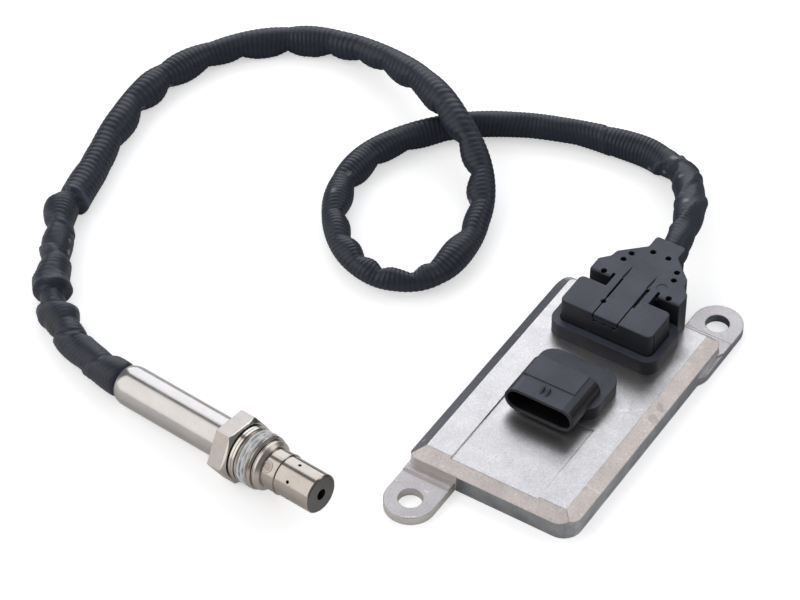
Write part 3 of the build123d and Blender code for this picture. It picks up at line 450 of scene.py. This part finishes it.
def probe_finish(name, light, dark, rough, face, face_rough, span):
    """Turned steel with fine lines along it, and another tone between two places on it."""
    made, tree, shader = finish_of(name, Metallic=1.0)
    at = here(tree)
    skin = mottled(tree, at, 160.0, light, dark)
    lines = streaked(tree, at, NUT_AXIS, 1500.0, 0.62)
    drawn = mix(tree, times(tree, lines, 0.3), skin["Color"], tinted(dark, 0.55))
    grain = mottled(tree, at, 420.0, tinted(face, 1.08), tinted(face, 0.88), fine=0.5)
    far = along_probe(tree, at)
    start, end = span
    on_face = within(tree, far, (start + end) / 2, (end - start) / 2, 0.05 * MM)
    shades = mix(tree, on_face, drawn, grain["Color"])
    for line in TURNED_LINES:
        turned = within(tree, far, line * MM, 0.06 * MM, 0.12 * MM)
        shades = mix(tree, turned, shades, tinted(dark, 0.25))
    feed(tree, shader, {"Base Color": shades,
                        "Roughness": spread(tree, on_face, 0, 1, rough, face_rough)})
    grained(tree, shader, cloud(tree, at, 2400.0, 3.0), 0.2, 0.02 * MM, edge=0.2 * MM)
    return made


PASTE_TONES = (1.0, 1.0, 1.0, 1), (0.80, 0.81, 0.82, 1)
# Painted shade: the paste's low places are darkened toward this tone.
PASTE_PAINTED_SHADE_TONE = (0.27, 0.275, 0.285, 1)
THREAD_TONES = (0.62, 0.58, 0.53, 1), (0.50, 0.46, 0.42, 1)


def paste_finish():
    """Threaded steel, smeared with a wet silvery white paste where it was spread on, with painted
    shade where the paste lies low.
    """
    made, tree, shader = finish_of("thread_paste_finish")
    at = here(tree)
    paste = stored(tree, "paste")
    skin = mottled(tree, at, 700.0, *PASTE_TONES, fine=0.5)
    # Painted shade where the paste stands low.
    paste_shaded = mix(tree, stored(tree, "ridge"), PASTE_PAINTED_SHADE_TONE, skin["Color"])
    bare = mottled(tree, at, 160.0, *THREAD_TONES)
    feed(tree, shader, {"Base Color": mix(tree, paste, bare["Color"], paste_shaded),
                        "Metallic": spread(tree, paste, 0, 1, 1.0, 0.0),
                        "Roughness": spread(tree, paste, 0, 1, 0.24, 0.2)})
    grained(tree, shader, times(tree, cloud(tree, at, 1300.0, 4.0), paste), 0.8, 0.2 * MM)
    return made


WELD_TONES = (0.52, 0.47, 0.44, 1), (0.38, 0.34, 0.33, 1)
WELD_MIDDLE_TONE = (0.35, 0.28, 0.255, 1)
WELD_RIM_TONE = (0.24, 0.23, 0.23, 1)


def weld_finish():
    """A round weld spot: brownish in the middle, with a grey rim."""
    made, tree, shader = finish_of("weld_spot_finish", Metallic=1.0)
    out = stored(tree, "rim")
    skin = mottled(tree, here(tree), 900.0, *WELD_TONES)
    middle = spread(tree, out, 0.5, 0.6, 1.0, 0.0)
    shades = mix(tree, middle, skin["Color"], WELD_MIDDLE_TONE)
    feed(tree, shader, {"Base Color": mix(tree, spread(tree, out, 0.90, 0.97), shades,
                                          WELD_RIM_TONE),
                        "Roughness": spread(tree, middle, 0, 1, 0.3, 0.24)})
    return made


# Painted sheen: these black plastic tones are lighter and bluer than the plastic itself, standing
# in for the sheen on its tops.
BLACK_SHEEN_PAINTED_TONES = (0.071, 0.078, 0.108, 1), (0.051, 0.056, 0.079, 1)

cast_aluminium = cast_finish()
black_plastic = plastic_finish("black_plastic_finish", *BLACK_SHEEN_PAINTED_TONES, 0.44)
header_plastic = plastic_finish("header_plastic_finish", *BLACK_SHEEN_PAINTED_TONES, 0.44, hollow=True)
thread_paste = paste_finish()
weld_steel = weld_finish()
conduit_black = conduit_finish()
seal_rubber = plastic_finish("seal_rubber_finish", (0.09, 0.10, 0.12, 1),
                             (0.06, 0.07, 0.08, 1), 0.55)
lead_plastic = plastic_finish("lead_insulation_finish", (0.55, 0.54, 0.50, 1),
                              (0.42, 0.41, 0.38, 1), 0.5)
board_green = plastic_finish("circuit_board_finish", (0.03, 0.16, 0.07, 1),
                             (0.02, 0.11, 0.05, 1), 0.3)
ceramic_white = plastic_finish("ceramic_finish", (0.82, 0.81, 0.77, 1),
                               (0.70, 0.69, 0.65, 1), 0.45)
sleeve_steel = steel_finish("sleeve_steel_finish", (0.60, 0.58, 0.57, 1),
                            (0.52, 0.50, 0.49, 1), 0.17)
nut_steel = probe_finish("nut_steel_finish", (0.66, 0.63, 0.59, 1), (0.54, 0.51, 0.47, 1), 0.17,
                         (0.57, 0.525, 0.495, 1), 0.36, HEXAGON)
body_steel = probe_finish("body_steel_finish", (0.64, 0.59, 0.54, 1), (0.54, 0.50, 0.46, 1), 0.3,
                          (0.60, 0.55, 0.50, 1), 0.3, SEAL_RING_FRONT)
tube_steel = probe_finish("tube_steel_finish", (0.50, 0.455, 0.415, 1), (0.44, 0.40, 0.365, 1),
                          0.16, (0.16, 0.155, 0.15, 1), 0.3, TUBE_END)
inner_steel = steel_finish("inner_steel_finish", (0.56, 0.50, 0.45, 1), (0.44, 0.40, 0.36, 1), 0.3)
pin_brass = steel_finish("pin_brass_finish", (0.76, 0.60, 0.32, 1), (0.60, 0.46, 0.24, 1), 0.25)
zinc_steel = steel_finish("zinc_steel_finish", (0.62, 0.62, 0.62, 1), (0.48, 0.48, 0.48, 1), 0.3)
plate_aluminium = steel_finish("plate_aluminium_finish", (0.66, 0.65, 0.64, 1),
                               (0.50, 0.50, 0.50, 1), 0.38, 45.0)

finishes = {
    cast_aluminium: ["housing"],
    plate_aluminium: ["base_plate"],
    header_plastic: ["vehicle_header"],
    black_plastic: ["sensor_header", "plug_cover", "hood_base", "plug_carrier", "processor",
                    "driver_chips", "choke_coil"],
    seal_rubber: ["lid_gasket", "vehicle_gasket", "sensor_gasket", "plug_seal",
                  "cable_grommet"],
    lead_plastic: ["plug_leads", "probe_leads"],
    board_green: ["circuit_board"],
    ceramic_white: ["contact_holder", "rear_insulator", "talc_packing", "front_insulator",
                    "sensing_element"],
    sleeve_steel: ["rear_sleeve"],
    nut_steel: ["gland_nut"],
    body_steel: ["sensor_body"],
    tube_steel: ["outer_protection_tube"],
    inner_steel: ["inner_protection_tube"],
    pin_brass: ["vehicle_pins", "sensor_pins", "plug_terminals"],
    zinc_steel: ["lid_screws", "board_screws", "contact_springs", "capacitors",
                 "cable_ferrule"],
}
for finish, names in finishes.items():
    for name in names:
        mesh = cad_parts[name].data
        mesh.materials.clear()
        mesh.materials.append(finish)


# The probe's thread, with the paste on it, and the weld spot on the tube


def on_probe(far, radius, turn):
    """A point round the probe's axis, with lengths in millimetres."""
    side = NUT_X * cos(turn) + NUT_Y * sin(turn)
    return NUT_PLACE + (NUT_AXIS * far + side * radius) * MM


def wrapped_grid(name, across, up, place):
    """A grid whose points are moved to the places that a function gives for two shares."""
    nothing_selected()
    bpy.ops.mesh.primitive_grid_add(x_subdivisions=across, y_subdivisions=up, size=1)
    piece = bpy.context.object
    piece.name = name
    shares = [(point.co.x + 0.5, point.co.y + 0.5) for point in piece.data.vertices]
    for point, share in zip(piece.data.vertices, shares):
        point.co = place(*share)
    return piece, shares


def closed_up(piece, smooth=40):
    """Merges a wrapped grid's seam and turns its faces outwards."""
    edited(piece, (bpy.ops.mesh.remove_doubles, {"threshold": 0.004 * MM}),
           (bpy.ops.mesh.normals_make_consistent, {"inside": False}))
    bpy.ops.object.shade_smooth_by_angle(angle=radians(smooth))


# The threaded end of the nut: places along the probe and radii, in millimetres.
CUT = 10.0
RING_START = 9.9
THREAD_START = 10.1
THREAD_END = 16.0
THREAD_PITCH = 1.5
THREAD_ROOT_R = 9.15
THREAD_R = 10.0
NECK_R = 9.3
NOSE_END = 16.85
NOSE_R = 9.6
NUT_BORE_R = 7.58
THREAD_SIDES = 176
THREAD_ROWS = 60
THREAD_ROW = 0.1
# The paste lies between these places. It fills the grooves up to this radius, and its
# strands stand this much higher or lower.
PASTE_START, PASTE_END = 10.6, 15.0
PASTE_R = 9.4
PASTE_HEIGHT = 0.35
# Where the thread stands lower than this radius, the paste on it gets painted shade.
PASTE_SHADE_R = 9.35
PASTE_SHADE_RANGE = 0.7


def limited(value):
    """A value kept between nought and one."""
    return min(max(value, 0), 1)


def smear(far, turn):
    """How much paste lies on the thread, and how high it stands."""
    edge = 0.5 * noise.noise(Vector((cos(turn) * 2.5, sin(turn) * 2.5, 3)))
    cover = limited((far - PASTE_START - edge) / 0.5)
    cover *= limited((PASTE_END + 1.6 * edge - far) / 0.5)
    wide = noise.noise(Vector((cos(turn) * 3 + far / 5, sin(turn) * 3, far * 1.1)))
    bend = 1.5 * sin(turn * 3) + 0.7 * sin(turn * 7 + 1)
    fine = noise.noise(Vector((cos(turn) * 3.5, sin(turn) * 3.5, far * 2.3 + bend)))
    return cover, 0.2 + 0.55 * wide + 0.5 * fine


def thread_radius(far, turn):
    """The thread's outside, with its grooves partly filled by the paste."""
    share = ((far - THREAD_START) / THREAD_PITCH - turn / tau) % 1
    rise = limited(1.35 * (1 - abs(2 * share - 1)) - 0.15)
    radius = THREAD_ROOT_R + (THREAD_R - THREAD_ROOT_R) * rise
    chamfer = NOSE_R + (NOSE_END - far) * (THREAD_R - NOSE_R) / (NOSE_END - THREAD_END)
    radius = min(radius, chamfer) if far < THREAD_END else chamfer
    cover, height = smear(far, turn)
    filled = max(radius, PASTE_R) + height * PASTE_HEIGHT
    return radius + (filled - radius) * cover


def threaded_end():
    """The nut's threaded end as one closed ring."""
    fars = [RING_START, RING_START, RING_START + 0.05]
    fars += [THREAD_START + THREAD_ROW * i for i in range(THREAD_ROWS)]
    fars += [16.2, 16.4, 16.6, NOSE_END, NOSE_END, RING_START]
    last = len(fars) - 1

    def place(across, up):
        row = round(up * last)
        far, turn = fars[row], across * tau
        if row in (0, last, last - 1):
            return on_probe(far, NUT_BORE_R, turn)
        if row in (1, 2):
            return on_probe(far, NECK_R, turn)
        return on_probe(far, thread_radius(far, turn), turn)

    piece, shares = wrapped_grid("nut_thread", THREAD_SIDES, last, place)
    covers, ridges = [], []
    for across, up in shares:
        far, turn = fars[round(up * last)], across * tau
        cover, height = smear(far, turn)
        stand = (thread_radius(far, turn) - PASTE_SHADE_R) / PASTE_SHADE_RANGE
        covers.append(cover)
        ridges.append(limited(1.3 * stand + 1.3 * height))
    painted(piece, "paste", covers)
    painted(piece, "ridge", ridges)
    closed_up(piece)
    dressed(piece, "gland_nut", thread_paste)


def nut_behind_thread():
    """The hexagon and collar of the nut, cut off where the threaded end starts."""
    piece = copy_of("gland_nut", "nut_hexagon")
    edited(piece, (bpy.ops.mesh.bisect, {"plane_co": NUT_PLACE + NUT_AXIS * CUT * MM,
                                         "plane_no": NUT_AXIS, "use_fill": True,
                                         "clear_outer": True}))
    bpy.ops.object.shade_smooth_by_angle(angle=radians(13))
    dressed(piece, "gland_nut", nut_steel, "gland_nut")


# The weld spot: its place along and round the probe, its radius and the tube's, in millimetres.
WELD_FAR = 21.4
WELD_TURN = radians(132)
WELD_R = 2.3
WELD_SIDES, WELD_RINGS = 48, 20
TUBE_BASE_R = 7.4


def ring(out, radius, width):
    """A round ridge, one high, at a radius."""
    return np.exp(-((out - radius) / width) ** 2)


def weld_spot():
    """The round spot that fixes the tube: a raised rim round a dished middle."""

    def place(across, up):
        out, round_it = WELD_R * up, across * tau
        height = 0.02 + 0.09 * ring(out, 1.95, 0.2)
        height += 0.07 * ring(out, 1.2, 0.16) + 0.08 * ring(out, 0, 0.4)
        height -= 0.12 * max(out - 2.1, 0) / 0.2
        turn = WELD_TURN + out * sin(round_it) / TUBE_BASE_R
        return on_probe(WELD_FAR + out * cos(round_it), TUBE_BASE_R + float(height), turn)

    piece, shares = wrapped_grid("weld_spot", WELD_SIDES, WELD_RINGS, place)
    painted(piece, "rim", [up for across, up in shares])
    closed_up(piece, smooth=80)
    outward = NUT_X * cos(WELD_TURN) + NUT_Y * sin(WELD_TURN)
    if piece.data.polygons[0].normal.dot(outward) < 0:
        edited(piece, (bpy.ops.mesh.flip_normals, {}))
    dressed(piece, "sensor", weld_steel)


nut_behind_thread()
threaded_end()
weld_spot()


# The conduit: a ribbed sleeve laid along its route

ROUTE = [
    (-0.1308, -0.0758, 0.0075), (-0.1491, -0.0733, 0.0061), (-0.1718, -0.0640, 0.0054),
    (-0.1901, -0.0449, 0.0052), (-0.2069, -0.0175, 0.0052), (-0.2138, 0.0100, 0.0052),
    (-0.2200, 0.0434, 0.0052), (-0.2205, 0.0697, 0.0052), (-0.2113, 0.0929, 0.0052),
    (-0.1948, 0.1116, 0.0052), (-0.1753, 0.1209, 0.0058), (-0.1521, 0.1200, 0.0090),
    (-0.1254, 0.1095, 0.0164), (-0.1025, 0.0944, 0.0164), (-0.0857, 0.0825, 0.0088),
    (-0.0742, 0.0638, 0.0052), (-0.0704, 0.0406, 0.0052), (-0.0735, 0.0270, 0.0052),
    (-0.0821, 0.0192, 0.0052), (-0.0940, 0.0173, 0.0052), (-0.1109, 0.0234, 0.0052),
    (-0.1262, 0.0396, 0.0052), (-0.1321, 0.0589, 0.0052), (-0.1273, 0.0803, 0.0052),
    (-0.1131, 0.1015, 0.0052), (-0.0925, 0.1167, 0.0052), (-0.0638, 0.1264, 0.0052),
    (-0.0385, 0.1292, 0.0052), (-0.0235, 0.1243, 0.0074), (-0.0122, 0.1092, 0.0126),
    (-0.0003, 0.0853, 0.0178), (-0.0003, 0.0718, 0.0178),
]
# The sleeve's radius in millimetres and in metres.
ROUND_R = 5.0
RIB_HEIGHT = 0.17 * MM
RING_STEP = 0.3 * MM
SIDES = 32
# The inner and the outer edge lie at right angles to this direction. The sleeve's middle
# follows their ups and downs, smoothed over this length.
BULGE_NORMAL = (0.3847, -0.6002, 0.7012)
BLUR_LENGTH = 26 * MM
# Millimetres out from the line: the most between the two edges, and the least and most anywhere.
FRONT_LIMIT = 6.2
LEAST_R, MOST_R = 3.0, 7.9
# Nothing of the sleeve is lower than this.
LOWEST = 0.15 * MM
# Millimetres along it: where it is pulled straightest, and where its ribs are crumpled.
STRAIGHT_AT = 240
CRUMPLED_TO, CRUMPLED_FROM = 112, 625
# How soft a fold's lip is, and how much softer for each millimetre that it slants.
LIP_WIDTH, LIP_SLANT = 0.45, 0.07
# The ribs lie further apart where the sleeve is pulled: millimetres along it, and between ribs.
RIB_SPACING = [
    (0, 1.55), (45, 1.65), (105, 2.0), (135, 2.5), (170, 2.4), (195, 2.0), (225, 2.0), (247, 1.85),
    (270, 2.6), (335, 2.75), (352, 2.1), (395, 2.1), (425, 1.65), (455, 1.7), (485, 1.8),
    (540, 1.8), (580, 1.68), (620, 1.6), (705, 1.6),
]

# How far the sleeve's inner and outer edges stand out from its line, as pairs of
# millimetres along it and millimetres out.
INNER_EDGE = [
    (0, 5.0), (3, 5.0), (7, 6.4), (15, 5.0), (20, 5.4), (30, 4.3), (36, 5.4), (41, 4.9), (46, 6.2),
    (50, 4.0), (53, 3.5), (59, 3.4), (61, 5.7), (66, 5.3), (72, 5.9), (76, 5.1), (86, 6.6),
    (96, 4.9), (103, 5.3), (107, 5.0), (110, 7.3), (121, 8.1), (133, 7.2), (146, 5.3), (156, 6.5),
    (167, 2.9), (177, 6.5), (185, 4.1), (196, 6.9), (206, 4.8), (215, 6.2), (221, 5.1), (231, 7.7),
    (240, 5.4), (249, 8.1), (258, 5.6), (264, 6.9), (272, 5.1), (279, 6.5), (286, 5.1), (298, 7.7),
    (305, 6.0), (321, 7.4), (328, 5.1), (337, 6.0), (346, 3.4), (354, 5.2), (361, 3.0), (370, 6.0),
    (376, 4.0), (385, 5.6), (393, 4.2), (404, 7.0), (417, 4.8), (420, 5.5), (426, 3.1), (434, 5.0),
    (439, 3.1), (444, 4.9), (449, 3.4), (456, 5.8), (462, 4.0), (470, 6.1), (477, 4.3), (488, 7.6),
    (498, 5.3), (506, 7.4), (516, 4.9), (522, 5.9), (531, 4.8), (539, 5.8), (547, 5.2), (565, 5.3),
    (581, 4.9), (599, 4.6), (621, 5.6), (637, 5.4), (643, 4.6), (661, 5.4), (668, 5.0), (678, 6.3),
    (688, 5.4), (696, 5.6), (705, 5.0),
]
OUTER_EDGE = [
    (0, 5.0), (3, 5.0), (7, 6.6), (16, 6.0), (24, 5.5), (33, 6.3), (39, 5.0), (46, 6.2), (51, 7.9),
    (53, 5.6), (60, 5.6), (63, 8.3), (70, 6.2), (76, 3.7), (85, 5.3), (94, 3.4), (104, 7.6),
    (110, 2.8), (121, 4.1), (128, 3.7), (139, 4.3), (159, 5.5), (178, 6.0), (188, 4.6), (195, 5.2),
    (210, 3.9), (230, 4.3), (241, 3.8), (249, 4.4), (261, 3.9), (291, 3.8), (310, 3.7), (335, 4.8),
    (352, 5.3), (384, 4.0), (400, 4.4), (416, 3.7), (432, 3.5), (453, 4.2), (477, 3.6), (497, 3.2),
    (521, 4.8), (548, 4.8), (574, 4.6), (593, 4.8), (610, 5.0), (625, 5.9), (634, 4.9), (643, 3.9),
    (661, 5.6), (676, 5.0), (689, 3.4), (698, 4.0), (705, 5.0),
]
# Folds that lap over: where each meets the inner and the outer edge, its height, and
# which way its lip faces, all along the line in millimetres.
FOLDS = [
    (12, 20, 0.6, -1), (29, 38, 1.2, -1), (47, 52, 1.3, -1), (60, 62, 1.4, 1),
    (74, 82, 0.9, -1), (90, 97, 0.6, 1), (108, 112, 1.4, 1),
    (612, 608, 0.35, -1), (634, 649, 1.1, -1), (655, 641, 1.0, 1),
    (671, 653, 0.9, -1), (690, 668, 1.3, 1),
]
# Pale patches where the thin plastic is pinched: along, and round from the inner edge.
PINCHES = [
    (167, 8, 2.6), (185, 8, 2.2), (376, 6, 2.6), (425, 12, 2.6), (349, 4, 2.0), (480, 168, 2.4),
    (46, 14, 1.6), (84, 34, 1.5), (79, 22, 1.8), (632, 24, 1.6), (641, 34, 1.6), (645, 8, 1.8),
    (657, 60, 1.8), (676, 66, 2.2), (641, 120, 2.2), (498, 92, 2.0), (486, 110, 1.8),
]


def route_line():
    """Points along the conduit's smooth line, read from its spline."""
    curve = bpy.data.curves.new("conduit_line", "CURVE")
    curve.dimensions = "3D"
    curve.resolution_u = 48
    spline = curve.splines.new("NURBS")
    spline.points.add(len(ROUTE) - 1)
    for point, place in zip(spline.points, ROUTE):
        point.co = (*place, 1)
    spline.order_u = 3
    spline.use_endpoint_u = True
    line = bpy.data.objects.new("conduit_line", curve)
    scene.collection.objects.link(line)
    mesh = bpy.data.meshes.new_from_object(line)
    points = np.array([v.co[:] for v in mesh.vertices])
    bpy.data.objects.remove(line)
    bpy.data.meshes.remove(mesh)
    return points


def evenly(points, step):
    """The same line with its points a step apart."""
    run = np.concatenate([[0], np.cumsum(np.linalg.norm(np.diff(points, axis=0), axis=1))])
    count = int(round(run[-1] / step))
    at = np.linspace(0, run[-1], count + 1)
    return np.stack([np.interp(at, run, points[:, i]) for i in range(3)], axis=1), at


def eased(at, pairs):
    """A value along the sleeve that is round on its bulges and sharp in its creases."""
    places = np.array([p[0] for p in pairs], float)
    values = np.array([p[1] for p in pairs], float)
    i = np.clip(np.searchsorted(places, at, side="right") - 1, 0, len(places) - 2)
    t = np.clip((at - places[i]) / (places[i + 1] - places[i]), 0, 1)
    rising = values[i + 1] > values[i]
    t = np.where(rising, np.sin(t * pi / 2) ** 0.9, 1 - np.sin((1 - t) * pi / 2) ** 0.9)
    return values[i] + (values[i + 1] - values[i]) * t


def blurred(values, width):
    """The same values smoothed over a number of rings."""
    kernel = np.hanning(width + 2)[1:-1]
    padded = np.pad(values, (width // 2, (width - 1) // 2), mode="edge")
    return np.convolve(padded, kernel / kernel.sum(), "valid")


def fold_shape(fold, at, turn):
    """How far one lapped fold lifts the sleeve, and how strongly the top of its lip gets a painted
    highlight.
    """
    on_inner, on_outer, height, lip = fold
    c = np.cos(turn)[None, :]
    place = (on_inner + on_outer) / 2 + (on_inner - on_outer) / 2 * c
    place = place + 0.5 * np.sin(5 * turn + on_inner)[None, :]
    off = (at - place) * lip
    sharp = LIP_WIDTH + LIP_SLANT * abs(on_inner - on_outer)
    # Steep at the lip, with a groove in front of it, and fading out behind it.
    before_lip = np.exp(-(off / sharp) ** 2) - 0.35 * np.exp(-((off + 1.4) / 1.2) ** 2)
    lift = height * np.where(off > 0, np.exp(-off / 4.5), before_lip) * 0.8
    return lift, 0.8 * height * np.exp(-((off - 0.8) / 1.3) ** 2)


def pinched_places(at, turn):
    """How pale each point is: strong in the middle of a pinch and nought away from it."""
    pale = np.zeros_like(at)
    for place, round_at, size in PINCHES:
        gap = (turn[None, :] - radians(round_at) + pi) % tau - pi
        pale += np.exp(-((at - place) / size) ** 2 - (gap * ROUND_R / size * 1.4) ** 2)
    return np.clip(pale, 0, 1)


def sleeve_faces(rings):
    """The faces of a closed tube of rings."""
    faces = []
    for i in range(rings - 1):
        for j in range(SIDES):
            a, b = i * SIDES + j, i * SIDES + (j + 1) % SIDES
            faces.append((a, b, b + SIDES, a + SIDES))
    faces.append(tuple(range(SIDES))[::-1])
    faces.append(tuple((rings - 1) * SIDES + j for j in range(SIDES)))
    return faces


def conduit_piece():
    """The ribbed sleeve, with its bulges, creases and lapped folds."""
    line, at = evenly(route_line(), RING_STEP)
    length = at[-1]
    mm = at / MM
    mm_end = length / MM
    along = np.gradient(line, axis=0)
    along /= np.linalg.norm(along, axis=1)[:, None]
    inward = np.cross(along, BULGE_NORMAL)
    inward /= np.linalg.norm(inward, axis=1)[:, None]
    facing_out = np.cross(inward, along)
    turn = np.linspace(0, tau, SIDES, endpoint=False)
    c, s = np.cos(turn)[None, :], np.sin(turn)[None, :]
    at_ring = mm[:, None] + 0 * c

    # The sleeve bulges and shrinks at its inner and outer edges, and less in between.
    inner = eased(mm, INNER_EDGE)
    outer = eased(mm, OUTER_EDGE)
    window = int(BLUR_LENGTH / RING_STEP)
    wide_inner = blurred(inner, window)
    wide_outer = blurred(outer, window)
    shift = (wide_inner - wide_outer) / 2
    front = (wide_inner + wide_outer) / 2 + 0.3 * (inner - wide_inner) + 0.2 * (outer - wide_outer)
    front = np.minimum(front, FRONT_LIMIT)
    reach = np.where(c > 0, (inner - shift)[:, None], (outer + shift)[:, None])
    radius = reach * c ** 2 + front[:, None] * s ** 2
    # How strongly each point gets the painted highlight of a fold's top.
    fold_highlight = np.zeros_like(radius)
    for fold in FOLDS:
        lift, edge = fold_shape(fold, at_ring, turn)
        radius += lift
        fold_highlight += edge

    # The ribs lean and wander, but hardly where the sleeve is pulled straight.
    slant = (0.9 * np.sin(mm / 17.0) + 0.5 * np.sin(mm / 6.1 + 1))[:, None]
    calm = np.clip(np.minimum(abs(mm - STRAIGHT_AT) / 160, 1), 0.25, 1)[:, None]
    spacing = np.interp(mm, *zip(*RIB_SPACING))
    count = np.cumsum(RING_STEP / MM / spacing)[:, None]
    lean = slant * calm * c + 0.35 * np.sin(2 * turn + mm[:, None] / 9)
    phase = count + lean / spacing[:, None]
    radius += 0.18 * np.sin(at_ring / 3.3 + 3 * turn) * calm * (1 - c ** 2)
    near_end = np.clip((mm - 1.5) / 4, 0, 1) * np.clip((mm_end - 1 - mm) / 6, 0, 1)
    radius = ROUND_R + (radius - ROUND_R) * near_end[:, None]

    # Near the probe and near the hood the ribs are crumpled, and less deep.
    crumpled_by_probe = np.clip((CRUMPLED_TO - mm) / 12, 0, 1)
    crumpled_by_hood = 0.7 * np.clip((mm - CRUMPLED_FROM) / 12, 0, 1)
    crumpled = np.maximum(crumpled_by_probe, crumpled_by_hood)[:, None]
    wander = 0.7 * np.sin(2 * turn + mm[:, None] / 5) + 0.5 * np.sin(at_ring / 4)
    phase = phase + crumpled * wander
    rib = (0.5 + 0.5 * np.cos(tau * phase)) ** 0.8
    depth = 1 - crumpled * (0.45 + 0.25 * np.sin(at_ring / 3.7 + 2 * turn))
    radius = np.clip(radius, LEAST_R, MOST_R - (shift * near_end)[:, None] * c)
    radius = radius * MM + (rib - 0.6) * depth * RIB_HEIGHT

    middle = line + inward * (shift * near_end * MM)[:, None]
    places = (middle[:, None, :] + (radius * c)[..., None] * inward[:, None, :]
              + (radius * s)[..., None] * facing_out[:, None, :])
    places[..., 2] = np.maximum(places[..., 2], LOWEST)
    piece = new_mesh("ribbed_conduit", places.reshape(-1, 3).tolist(), sleeve_faces(len(line)))
    painted(piece, "pinched", pinched_places(at_ring, turn).reshape(-1))
    painted(piece, "rib", rib.reshape(-1))
    painted(piece, "fold_highlight", np.clip(fold_highlight, 0, 1).reshape(-1))
    edited(piece, (bpy.ops.mesh.normals_make_consistent, {"inside": False}))
    bpy.ops.object.shade_smooth()
    dressed(piece, "sensor", conduit_black, "conduit")


conduit_piece()


# Floor and light

# The floor's own tone, and the tones that the metal mirrors: nearer than the object and beyond.
FLOOR_TONE = (0.93, 0.93, 0.93, 1)
FLOOR_NEAR_TONE = (0.92, 0.90, 0.88, 1)
FLOOR_FAR_TONE = (0.26, 0.28, 0.32, 1)
FLOOR_GLOW = 0.5

bpy.ops.mesh.primitive_plane_add(size=6, location=(0, 0, 0))
floor = bpy.context.object
floor.name = "floor"
floor_finish, tree, shader = finish_of("floor_finish", Roughness=0.7,
                                       Emission_Color=(1, 1, 1, 1))
path = put(tree, "LightPath").outputs
farther = spread(tree, parts(tree, here(tree))["Y"], -0.06, 0.10)
mirrored = mix(tree, farther, FLOOR_NEAR_TONE, FLOOR_FAR_TONE)
feed(tree, shader, {
    "Base Color": mix(tree, path["Is Glossy Ray"], FLOOR_TONE, mirrored),
    "Emission Strength": spread(tree, path["Is Camera Ray"], 0, 1, 0, FLOOR_GLOW),
})
floor.data.materials.append(floor_finish)

# The lights face this place, near the middle of the object, from this far.
LIT_PLACE = Vector((-0.05, 0.0, 0.0))
LIGHT_DISTANCE = 1.6


def softbox(name, turn, rise, width, height, glow, colour):
    """A soft light that faces the middle of the object, placed by its bearing."""
    turn, rise = radians(turn), radians(rise)
    way = Vector((cos(rise) * cos(turn), cos(rise) * sin(turn), sin(rise)))
    bpy.ops.object.light_add(type="AREA", location=LIT_PLACE + way * LIGHT_DISTANCE)
    light = bpy.context.object
    light.name = name
    light.data.shape = "RECTANGLE"
    light.data.size = width
    light.data.size_y = height
    light.data.energy = glow * width * height * pi
    light.data.color = colour
    light.rotation_euler = (-way).to_track_quat("-Z", "Y").to_euler()


softbox("back_softbox", 125, 28, 1.3, 1.6, 1.5, (0.94, 0.96, 1.0))
softbox("front_softbox", -145, 31, 1.5, 1.9, 1.2, (1.0, 0.965, 0.935))
softbox("right_softbox", 45, 38, 0.8, 0.8, 1.4, (1.0, 0.955, 0.92))

SKY_TONE = (0.95, 0.97, 1.0, 1)
SKY_GLOW, MIRRORED_SKY_GLOW = 0.42, 0.22

world = bpy.data.worlds.new("studio")
world.use_nodes = True
tree = world.node_tree
glossy = put(tree, "LightPath").outputs["Is Glossy Ray"]
feed(tree, tree.nodes["Background"], {
    "Color": SKY_TONE, "Strength": spread(tree, glossy, 0, 1, SKY_GLOW, MIRRORED_SKY_GLOW)})
scene.world = world
